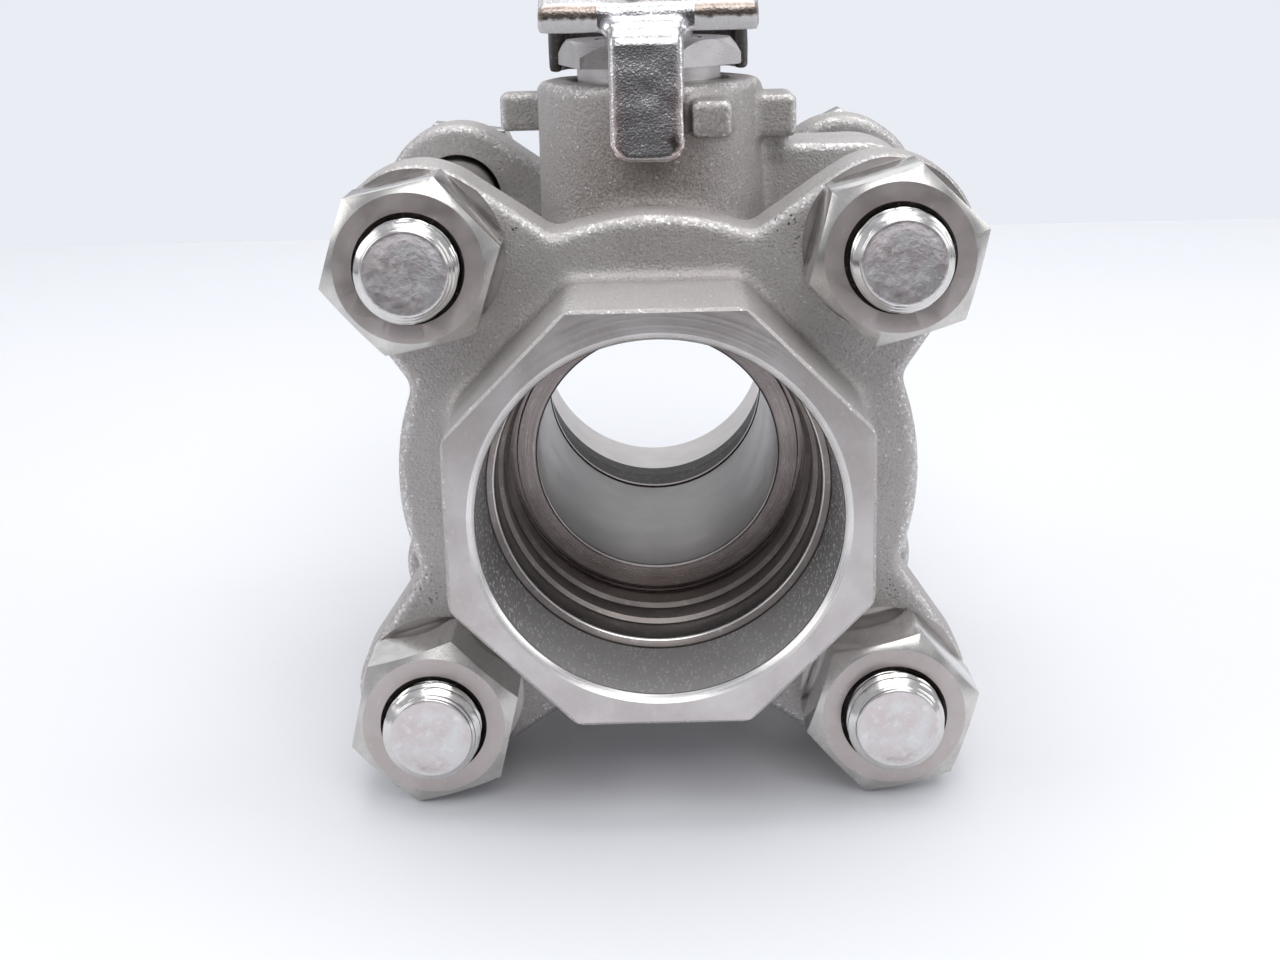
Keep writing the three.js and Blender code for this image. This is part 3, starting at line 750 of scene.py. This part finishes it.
def end_cap(name, bore, wall, passage):
    """A cap as the front one stands, with the bore of that profile and the materials of its inside."""
    field = Field((-41, -53, -41), (41, -20, 41), 0.4)
    x, y, z = field.x, field.y, field.z
    flange = rounded_cross(flange_plan(x, z), slab(y, -CAST_FACE, -CAP_INNER), 1.4)
    weld_end = rounded_cross(octagon_plan(x, z, OCTAGON, 0.9), slab(y, -54, -25), 0.5)
    casting = blend_union(flange, weld_end, 2.0)
    cap = field.mesh(casting, name)
    ripple(cap, 3.5, 0.06, 3)
    boolean(cap, cuboid("trim", (-60, -80, -60), (60, -END, 60)))
    boolean(cap, rod("trim", COLLAR_RADIUS, -CAP_INNER, 0, "y"))
    corner = OCTAGON / math.cos(math.pi / 8)
    edge_trim = [(0, -END - 1), (corner - 1.5, -END - 1), (corner - 0.42, -END),
                 (corner + 0.02, -END + 0.42), (60, -END + 12), (60, 0), (0, 0)]
    trim = lathe("edge_trim", edge_trim, "y", 8)
    trim.data.transform(Matrix.Rotation(math.pi / 8, 4, "Y"))
    boolean(cap, trim, "INTERSECT")
    for side_x, side_z in CORNERS.values():
        place = (side_x * PITCH, 0, side_z * PITCH)
        boolean(cap, rod("spot_face", SPOT_RADIUS, -50, -CAP_FACE, "y", place))
    boolean(cap, lathe("bore", cap_bore_profile(*bore), "y", 192))
    bolt_holes(cap, -60, 0)
    painted(cap, CAST, TURNED_Y, wall, passage, RIM_HIGHLIGHT)

    def rule(x, y, z, normals):
        radius = np.hypot(x, z)
        bolt = np.hypot(np.abs(x) - PITCH, np.abs(z) - PITCH)
        depth = y + END
        faced = (depth < 0.02) | (np.abs(y + CAP_INNER) < 0.02) & (radius < COLLAR_RADIUS)
        spot = (bolt < SPOT_RADIUS + 0.02) & (y < -CAP_FACE + 0.02) & (depth > 15)
        inside = radius < bore[0] + 1.0
        stop_rim = (depth > SOCKET_DEPTH + 0.5) & (depth < SOCKET_DEPTH + 0.85) & (bore is FRONT_BORE)
        mouth_rim = (depth > 0.02) & (depth < 0.85)
        socket = (depth > 0.85) & (depth < SOCKET_DEPTH - 0.05)
        # 4: rims with a painted highlight; 2: socket wall (painted light in the rear cap); 3: the bore
        #    beyond, in painted shade; 1: machined faces
        cases = [inside & (stop_rim | mouth_rim), inside & socket, inside & (depth > 0.05),
                 faced | spot | (bolt < BOLT_HOLE + 0.1)]
        return np.select(cases, [4, 2, 3, 1], 0)

    choose_material(cap, rule)
    soften(cap)
    field.mark_edges(cap, casting)
    return cap


def hinge_ear_plan(x, z):
    """Plane distance to the ear round the upper right bolt, its top level as far as the neck."""
    turns = np.radians(np.linspace(-45, 90, 16))
    rim = [(PITCH + HINGE_EAR * math.cos(turn), PITCH + HINGE_EAR * math.sin(turn)) for turn in turns]
    return polygon_distance(x, z, [(8, 12), *rim, (8, PITCH + HINGE_EAR)])


def valve_body():
    field = Field((-33, -24, -33), (41, 24, 50), 0.4)
    x, y, z = field.x, field.y, field.z
    inner = BODY_HALF - BODY_COLLAR
    barrel = rounded_cross(length(x, z) - 29, slab(y, -24, 24), 1)
    collars = rounded_cross(length(x, z) - COLLAR_RADIUS, inner - np.abs(y), 1.0)
    casting = blend_union(collars, barrel, 2.0)
    neck = rounded_cross(length(x, y) - NECK_RADIUS, slab(z, 0, NECK_TOP), 1.3)
    casting = blend_union(casting, neck, 4.0)
    ear = rounded_cross(hinge_ear_plan(x, z), slab(y, -2, 14.5), 1.0)
    casting = blend_union(casting, ear, 1.6)
    lugs = [
        rounded_box(field, (5.3, -17.6, 40.4), (10.4, -9, 45.1), 0.9),
        rounded_box(field, (-20.7, 5.6, 39.7), (-10, 11, 44.9), 0.9),
        rounded_box(field, (10, -5.6, 39.2), (19.5, 5.5, 44.8), 0.9),
        rounded_box(field, (10, -2, 36), (18.5, 5, 41), 0.9),
    ]
    for lug in lugs:
        casting = blend_union(casting, lug, 1.2)
    body = field.mesh(casting, "valve_body")
    ripple(body, 3.5, 0.06, 5)
    boolean(body, cuboid("trim", (-60, -80, -60), (60, -BODY_HALF, 60)))
    boolean(body, cuboid("trim", (-60, BODY_HALF, -60), (60, 80, 60)))
    boolean(body, rod("cavity", CAVITY, -40, 40, "y", segments=160))
    boolean(body, rod("stem_hole", 7.4, 15, 60, "z"))
    boolean(body, rod("shoulder_hole", 9.6, 15, 31.6, "z"))
    boolean(body, lathe("gland", [(0, 34.4), (10, 34.4), (10, NECK_TOP - 0.4), (11.4, NECK_TOP + 1),
                                  (0, NECK_TOP + 1)], "z"))
    bolt_holes(body, -60, 60)
    painted(body, CAST, TURNED_Y, TURNED_Z)

    def rule(x, y, z, normals):
        radius = np.hypot(x, z)
        stem = np.hypot(x, y)
        faced = (np.abs(y) > BODY_HALF - 0.02) | (radius < CAVITY + 0.1)
        return np.where((stem < 11) & (z > 25), 2, np.where(faced, 1, 0))

    choose_material(body, rule)
    soften(body)
    field.mark_edges(body, casting)
    return body


front = end_cap("front_cap", FRONT_BORE, SOCKET_WALL, TURNED_SHADED)
rear = end_cap("rear_cap", REAR_BORE, LIT_REAR_WALL, PASSAGE_SHADED)
rear.data.transform(Matrix.Rotation(math.pi, 4, "Z"))
casting = valve_body()
settle(front, "valve_body", "cast_steel", "front_end_cap")
settle(rear, "valve_body", "cast_steel", "rear_end_cap")
settle(casting, "valve_body", "cast_steel", "body")


# ---- ball and seats ----
def arc(radius, start, stop, count):
    """[radius, height] points on a circle round the origin, by angle above the radius axis."""
    angles = np.radians(np.linspace(start, stop, count))
    return [(radius * math.cos(a), radius * math.sin(a)) for a in angles]


def make_ball():
    edge = math.degrees(math.acos(BORE / BALL_RADIUS))
    profile = [(BORE, -18.6), *arc(BALL_RADIUS, -edge + 0.6, edge - 0.6, 60), (BORE, 18.6)]
    made = lathe("flow_ball", profile, "y", 160)
    boolean(made, cuboid("slot", (-30, -4.15, 19.6), (30, 4.15, 30)))
    return finished(made, BALL_STEEL, 30, 0.15)


def make_seat(side):
    """Front (-1) or rear (1) seat ring: a flat turned face, hollowed to the ball."""
    inner = math.degrees(math.acos((BORE - 0.1) / (BALL_RADIUS + 0.3)))
    outer = math.degrees(math.asin(11.0 / (BALL_RADIUS + 0.3)))
    hollow = [(r, -side * h) for r, h in arc(BALL_RADIUS + 0.3, -inner, -outer, 24)]
    profile = [
        *hollow, (25.2, side * 11.0), (25.2, side * SEAT_FACE), (19.3, side * SEAT_FACE),
        (19.1, side * (SEAT_FACE - 0.8)),
        (18.5, side * (SEAT_FACE - 0.8)), (18.3, side * SEAT_FACE), (BORE + 0.1, side * SEAT_FACE),
        (BORE - 0.1, side * (SEAT_FACE - 0.2)),
    ]
    made = lathe(f"{'front' if side < 0 else 'rear'}_seat_ring", profile, "y", 160)
    return finished(made, SEAT, 30)


settle(make_ball(), "ball", "ball_steel", "ball")
settle(make_seat(-1), "valve_body", "seat", "front_seat")
settle(make_seat(1), "valve_body", "seat", "rear_seat")


# ---- threads, nuts and bolts ----
def corners_turned_off(half_flats, low, high, ring):
    """The outline that trims both ends of a hexagon, down to a flat ring of given radius."""
    corner = half_flats / math.cos(math.pi / 6) + 0.5
    fall = (corner - ring) * math.tan(math.radians(28))
    return [(0, low), (ring, low), (corner, low + fall), (corner, high - fall), (ring, high), (0, high)]


def hex_blank(name, axis, half_flats, low, high, angle, trim, offset=(0, 0, 0)):
    """A hexagon with one corner at an angle, trimmed by a turned outline."""
    bm = bmesh.new()
    corner = half_flats / math.cos(math.pi / 6)
    bottom, top = (ring(bm, corner, height, 6, math.radians(angle)) for height in (low, high))
    stitch(bm, bottom, top)
    bm.faces.new(bottom[::-1])
    bm.faces.new(top)
    blank = finish_mesh(name, bm, axis, offset)
    boolean(blank, lathe("trim", trim, axis, 160, offset), "INTERSECT")
    return blank


def threaded_rod(name, radius, pitch, low, thread_low, high, axis, offset=(0, 0, 0), segments=72):
    """A rod from low to high whose top, above thread_low, carries a right-hand thread and a chamfer."""
    depth, chamfer = 0.58 * pitch, 0.95
    step = pitch / 10
    rows = [low, *np.arange(thread_low, high - 1.1, step), *np.arange(high - 1.1, high, 0.06), high]
    bm = bmesh.new()
    loops = []
    for height in rows:
        loop = []
        for k in range(segments):
            turn = 2 * math.pi * k / segments
            phase = (height / pitch - k / segments) % 1.0
            wave = min(abs(phase - 0.5) * 2.6, 1.0)
            cut = 0.0 if height < thread_low + pitch else depth * (1 - wave)
            ridge = 0.05 * math.sin(2 * math.pi * (high - height) / 0.36)
            r = min(radius - cut, radius - 0.12 - chamfer + (high - height) + ridge)
            loop.append(bm.verts.new((r * math.cos(turn), r * math.sin(turn), height)))
        loops.append(loop)
    for below, above in zip(loops, loops[1:]):
        stitch(bm, below, above)
    bm.faces.new(loops[0][::-1])
    rims = loops[-1]
    for inset, drop in ((0.35, 0.0), (0.9, 0.12), (2.2, 0.2), (3.6, 0.16)):
        dished = ring(bm, radius - 0.12 - chamfer - inset, high - drop, segments)
        stitch(bm, rims, dished)
        rims = dished
    bm.faces.new(rims)
    return finish_mesh(name, bm, axis, offset)


def countersunk_bore(low, high, radius, depth):
    """The outline of a nut's bore, opened out at both faces."""
    return [(0, low - 1), (7.5, low - 1), (6.6, low), (radius, low + depth), (radius, high - depth),
            (6.6, high), (7.5, high + 1), (0, high + 1)]


def bolt_nut(name, angle, offset):
    """An M12 nut on its bolt: flat turned ring, chamfered corners, countersunk bore."""
    middle = (NUT_FRONT + NUT_BACK) / 2
    half = (NUT_BACK - NUT_FRONT) / 2
    place = (offset[0], middle, offset[1])
    trim = corners_turned_off(NUT_FLATS / 2, -half, half, NUT_RING)
    made = hex_blank(name, "-y", NUT_FLATS / 2, -half, half, angle, trim, place)
    boolean(made, lathe("hole", countersunk_bore(-half, half, 5.95, 0.6), "-y", 128, place))
    painted(made, BRIGHT, NUT_FACE, NUT_CHAMFER, SHADED_THREAD)

    def rule(x, y, z, normals):
        facing = np.abs(normals[:, 1])
        radius = np.hypot(x, z)
        number = np.where(facing > 0.99, 1, np.where(facing > 0.7, 2, 0))
        # the countersink and bore take the painted shade (3)
        return np.where((radius < 7.6) & (facing < 0.99), 3, number)

    choose_material(made, rule)
    soften(made, 20, 0.12)
    return made


def bolt(name, angle, offset):
    """Hexagon head behind the rear cap, shank through the flanges, thread and chamfer in front."""
    place = (offset[0], 0, offset[1])
    made = threaded_rod(name, 6.0, BOLT_PITCH, -CAP_FACE - 0.3, 24.0, -STUD_END, "-y", place)
    seat = -CAP_FACE - 0.3
    trim = corners_turned_off(NUT_FLATS / 2, -HEAD_END, seat, NUT_RING)
    head = hex_blank("head", "-y", NUT_FLATS / 2, -HEAD_END, seat, angle, trim, place)
    soften(head, 20, 0.15)
    boolean(made, head, "UNION")
    painted(made, BRIGHT, STUD_END_STEEL, NUT_FACE)

    def rule(x, y, z, normals):
        radius = np.hypot(x, z)
        end = (y < STUD_END + 0.5) & (radius < 4.86)
        return np.where(end, 1, np.where(normals[:, 1] > 0.7, 2, 0))

    choose_material(made, rule)
    soften(made, 30)
    return made


for corner, (side_x, side_z) in CORNERS.items():
    offset = (side_x * PITCH, side_z * PITCH)
    nut = bolt_nut(f"hex_nut_{corner}", NUT_ANGLE[corner], offset)
    settle(nut, "valve_body", "bolt_steel", f"nut_{corner}")
    screw = bolt(f"hex_bolt_{corner}", HEAD_ANGLE[corner], offset)
    settle(screw, "valve_body", "bolt_steel", f"bolt_{corner}")


# ---- stem, gland and lever ----
def gland():
    low, bottom, top = GLAND_LOW, GLAND_TOP - GLAND_HEX, GLAND_TOP
    trim = [(0, bottom), (12.5, bottom), (12.9, bottom + 0.3), (12.9, top - 2.2), (11, top), (0, top)]
    made = hex_blank("gland_hex", "z", 11.0, bottom, top, 45, trim)
    boolean(made, rod("shank", 9.65, low, bottom + 0.5, "z"), "UNION")
    boolean(made, rod("hole", 7.3, low - 1, top + 1, "z"))
    return finished(made, TURNED_Z, 25, 0.15)


def stem_piece():
    made = threaded_rod("valve_stem", 6.0, BOLT_PITCH, 50.0, 55.0, STEM_TOP, "z")
    for side in (-1, 1):
        low, high = sorted((side * 4.5, side * 9))
        boolean(made, cuboid("flat", (-9, low, GLAND_TOP), (9, high, 80)))
    shaft = lathe("shaft", [(0, 25.2), (9.0, 25.2), (9.2, 25.4), (9.2, 29.3), (9.0, 29.5), (7.0, 29.5),
                            (7.0, GLAND_TOP - 0.4), (6.6, GLAND_TOP), (0, GLAND_TOP)], "z")
    boolean(made, shaft, "UNION")
    boolean(made, cuboid("tang", (-7.5, -3.85, 20.0), (7.5, 3.85, 25.6)), "UNION")
    return finished(made, TURNED_Z, 30)


settle(gland(), "valve_body", "turned_steel", "gland_nut")
settle(stem_piece(), "handle", "turned_steel", "stem")


# ---- lever ----
HUB_MIDDLE = HUB_BOTTOM + PLATE / 2
ARM_RISE = 14.1
EDGE = 1.85  # thickness of the turned-down edges and the skirt
SKIRT, SKIRT_BOTTOM = 13.75, 47.5


def lever_piece():
    field = Field((-19.5, -20, 36.5), (19.5, LEVER_END + 1.5, 72.5), 0.4)
    x, y, z = field.x, field.y, field.z
    hub, high = HUB_MIDDLE, HUB_MIDDLE + ARM_RISE
    path = [
        (-14.5, hub),
        *fillet_path((-14.5, hub), (14.5, hub), (49.5, high), 12),
        *fillet_path((14.5, hub), (49.5, high), (LEVER_END, high), 14),
        (LEVER_END, high),
    ]
    sheet = distance_to_path(y, z, path) - PLATE / 2
    side = [(14.05, -13.5), (14.05, 7), (14.8, 9.4), (16.8, 11.2), (17.9, 14), (17.9, 29), (16.6, 35),
            (12.6, 47), (11.0, 54), (11.0, LEVER_END - 4), (7.5, LEVER_END)]
    outline = [*side, *[(-a, b) for a, b in reversed(side)]]
    plan = polygon_distance(x, y, outline)
    plate = rounded_cross(sheet, plan, 0.8)
    # the sides are folded down behind the hub
    centre_line = np.interp(y.ravel(), [p[0] for p in path], [p[1] for p in path]).reshape(y.shape)
    drop = 0.6 + 2.0 * np.clip((y - 12) / 38, 0, 1)
    band = np.maximum(plan, -plan - EDGE)
    fold = rounded_cross(band, slab(z - centre_line, 0, 0) - PLATE / 2 - drop * (z < centre_line), 0.8)
    fold = np.maximum(fold, 13.0 - y)
    plate = blend_union(plate, fold, 1.2)
    # the skirt under the hub: two sides and a back, open in front
    for low, high_corner in (((SKIRT - EDGE, 7), (SKIRT, 15)), ((-SKIRT, 7), (EDGE - SKIRT, 15)),
                             ((-SKIRT, 15 - EDGE), (SKIRT, 15))):
        wall = rounded_box(field, (*low, SKIRT_BOTTOM), (*high_corner, HUB_BOTTOM + 1), 0.6)
        plate = blend_union(plate, wall, 0.8)
    # the tongue, bent down in front
    drop_y = TONGUE_FACE + PLATE / 2
    turn = fillet_path((-10, hub), (drop_y, hub), (drop_y, TONGUE_FOOT), 4.7 - PLATE / 2, 12)
    bend = [(-10, hub), *turn, (drop_y, TONGUE_FOOT + 0.4)]
    strip = distance_to_path(y, z, bend) - PLATE / 2
    lower = rounded_cross(slab(x, -5.2, 4.4), slab(z, TONGUE_FOOT, 80), 2.7)
    tongue = rounded_cross(strip, lower, 1.0)
    plate = blend_union(plate, tongue, 1.5)
    made = field.mesh(plate, "lever_arm")
    ripple(made, 2.2, 0.05, 11)
    boolean(made, rod("hole", 6.35, 40, 70, "z"))
    painted(made, SHEET, SHEARED, SHADED_SKIRT)

    def rule(x, y, z, normals):
        front_edge = (y < -12.9) & (np.abs(x + 0.4) > 6.2) & (normals[:, 1] < -0.5)
        # the skirt and the hub's underside take the painted shade (2)
        under = (z < HUB_BOTTOM + 0.3) & (y > -12.9) & (normals[:, 2] < 0.3)
        return np.where(front_edge, 1, np.where(under & (y < 15.5), 2, 0))

    choose_material(made, rule)
    soften(made, 40)
    return made


def lever_washer():
    low = HUB_BOTTOM + PLATE + 0.3
    profile = [(6.4, low), (9.7, low), (10, low + 0.3), (10, low + 1.2), (9.7, low + 1.5),
               (6.4, low + 1.5)]
    made = lathe("stem_washer", profile, "z", 96)
    return finished(made, BRIGHT, 30)


def lever_nut():
    low, high = HUB_BOTTOM + PLATE + 2.1, HUB_BOTTOM + PLATE + 8.1
    trim = corners_turned_off(NUT_FLATS / 2, low, high, NUT_RING)
    made = hex_blank("stem_nut", "z", NUT_FLATS / 2, low, high, 20, trim)
    boolean(made, lathe("hole", countersunk_bore(low, high, 6.02, 0.8), "z", 96))
    return finished(made, BRIGHT, 20, 0.15)


def grip_piece():
    """A dipped vinyl sleeve with a rolled mouth, a swell along its length and shallow finger ribs."""
    low, high = GRIP_LOW, GRIP_HIGH
    field = Field(low - 1.5, high + 1.5, 0.55)
    x, y, z = field.x, field.y, field.z
    middle = (low[2] + high[2]) / 2
    t = np.clip((y - low[1]) / (high[1] - low[1]), 0, 1)
    narrow = 1.2 * (1 - np.sin(math.pi * t) ** 2) + 0.25 * np.cos(2 * math.pi * (y - low[1]) / 6.0) ** 8
    half_width, half_height = high[0] - narrow, (high[2] - low[2]) / 2 - 0.6 * narrow
    section_x, section_z = np.abs(x) - half_width + 5, np.abs(z - middle) - half_height + 5
    corner = length(np.maximum(section_x, 0), np.maximum(section_z, 0)) - 5
    section = corner + np.minimum(np.maximum(section_x, section_z), 0)
    sleeve = rounded_cross(section, slab(y, low[1], high[1]), 3.0)
    made = field.mesh(sleeve, "handle_grip")
    room_low = (-11.3, low[1] - 5, HUB_BOTTOM + ARM_RISE - 4.2)
    room_high = (11.3, LEVER_END + 0.4, HUB_BOTTOM + ARM_RISE + PLATE + 0.3)
    boolean(made, cuboid("room", room_low, room_high))
    return finished(made, VINYL, 40)


settle(lever_piece(), "handle", "lever_steel", "lever")
settle(lever_washer(), "handle", "bolt_steel", "lever_washer")
settle(lever_nut(), "handle", "bolt_steel", "lever_nut")
settle(grip_piece(), "handle", "vinyl", "lever_grip")

# Seals and packing stay as the CAD's own plain rings, hidden inside, in white PTFE.
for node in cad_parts:
    if "seal" in node or "packing" in node or "thrust" in node:
        painted(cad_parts[node], PTFE)
painted(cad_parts["gland_ring"], TURNED_Z)


# ---- floor, light and camera ----
def floor_card():
    """Plain pale card. Polished metal sees it end in front of the object, where the studio is dim."""
    paint = Paint("floor_card", 0.0, 0.75)
    pale = paint.tint(paint.noise(0.01, 3.0), (0.835, 0.845, 0.875), (0.815, 0.825, 0.855))
    front = paint.span(paint.component("Y"), -265, -340)
    mirrored = paint.nodes.new("ShaderNodeLightPath").outputs["Is Glossy Ray"]
    paint.colour(paint.tint(paint.times(front, mirrored), pale, DIM))
    return paint.material


def lay_floor(half_width, front, back):
    data = bpy.data.meshes.new("floor")
    corners = [(side * half_width, y, 0) for side, y in ((-1, front), (1, front), (1, back), (-1, back))]
    data.from_pydata(corners, [], [(0, 1, 2, 3)])
    data.materials.append(floor_card())
    new_object("floor", data, (0, 0, 0))


def soft_light(name, place, size, power):
    """A soft box in metres and watts, facing the valve."""
    data = bpy.data.lights.new(name, "AREA")
    data.shape, data.size, data.size_y = "RECTANGLE", *size
    data.energy = power
    lamp = bpy.data.objects.new(name, data)
    lamp.location = place
    lamp.rotation_euler = (Vector(VALVE) - Vector(place)).to_track_quat("-Z", "Y").to_euler()
    bpy.context.scene.collection.objects.link(lamp)


def studio_world():
    """A pale room. Polished metal also sees its dim side, low in front of the object."""
    world = bpy.data.worlds.new("studio")
    bpy.context.scene.world = world
    world.use_nodes = True
    graph = Graph(world.node_tree)
    direction = graph.nodes.new("ShaderNodeTexCoord").outputs["Generated"]
    toward = graph.vector("DOT_PRODUCT", direction, DIM_SIDE)["Value"]
    rays = graph.nodes.new("ShaderNodeLightPath").outputs
    dim = graph.times(graph.span(toward, 0.74, 0.95), rays["Is Glossy Ray"])
    seen = graph.tint(rays["Is Camera Ray"], graph.tint(dim, ROOM, DIM), BACKGROUND)
    graph.links.new(seen, graph.nodes["Background"].inputs["Color"])


FLOOR_BACK = 0.40  # the table's far edge, in metres
VALVE = (0, -0.05, 0.04)  # what the lights face
DIM_SIDE = (0.0, -0.98, -0.2)  # direction of the room's dim side
ROOM, DIM, BACKGROUND = (0.50, 0.51, 0.54), (0.045, 0.04, 0.04), (0.82, 0.845, 0.905)
lay_floor(1.6, -1.4, FLOOR_BACK)
studio_world()
soft_light("top", (0.05, 0.05, 0.75), (0.7, 0.6), 2.8)
soft_light("front", (0.1, -0.6, 0.65), (0.6, 0.4), 1.65)
soft_light("left", (-0.7, -0.25, 0.45), (0.5, 0.5), 1.2)
soft_light("right", (0.75, -0.1, 0.4), (0.5, 0.5), 1.25)
soft_light("behind", (0.0, 0.75, 0.55), (1.2, 0.5), 1.2)


def make_camera():
    """207 mm in front of the weld end and 64 mm above the pipe's axis, looking down into the bore."""
    data = bpy.data.cameras.new("camera")
    data.lens, data.sensor_width = 52.875, 36.0
    data.clip_start, data.clip_end = 0.01, 10
    made = bpy.data.objects.new("camera", data)
    yaw, pitch, roll = -0.00568, 0.27609, 0.0235
    forward = Vector((math.sin(yaw) * math.cos(pitch), math.cos(yaw) * math.cos(pitch), -math.sin(pitch)))
    level = Vector((math.cos(yaw), -math.sin(yaw), 0))
    down = forward.cross(level)
    right = level * math.cos(roll) + down * math.sin(roll)
    up = level * math.sin(roll) - down * math.cos(roll)
    made.matrix_world = Matrix((right, up, -forward)).transposed().to_4x4()
    made.location = (BALL + Vector((-1.007, -END - 207.14, 63.93))) * MM
    bpy.context.scene.collection.objects.link(made)
    bpy.context.scene.camera = made


make_camera()
bpy.context.scene.view_settings.view_transform = "Standard"
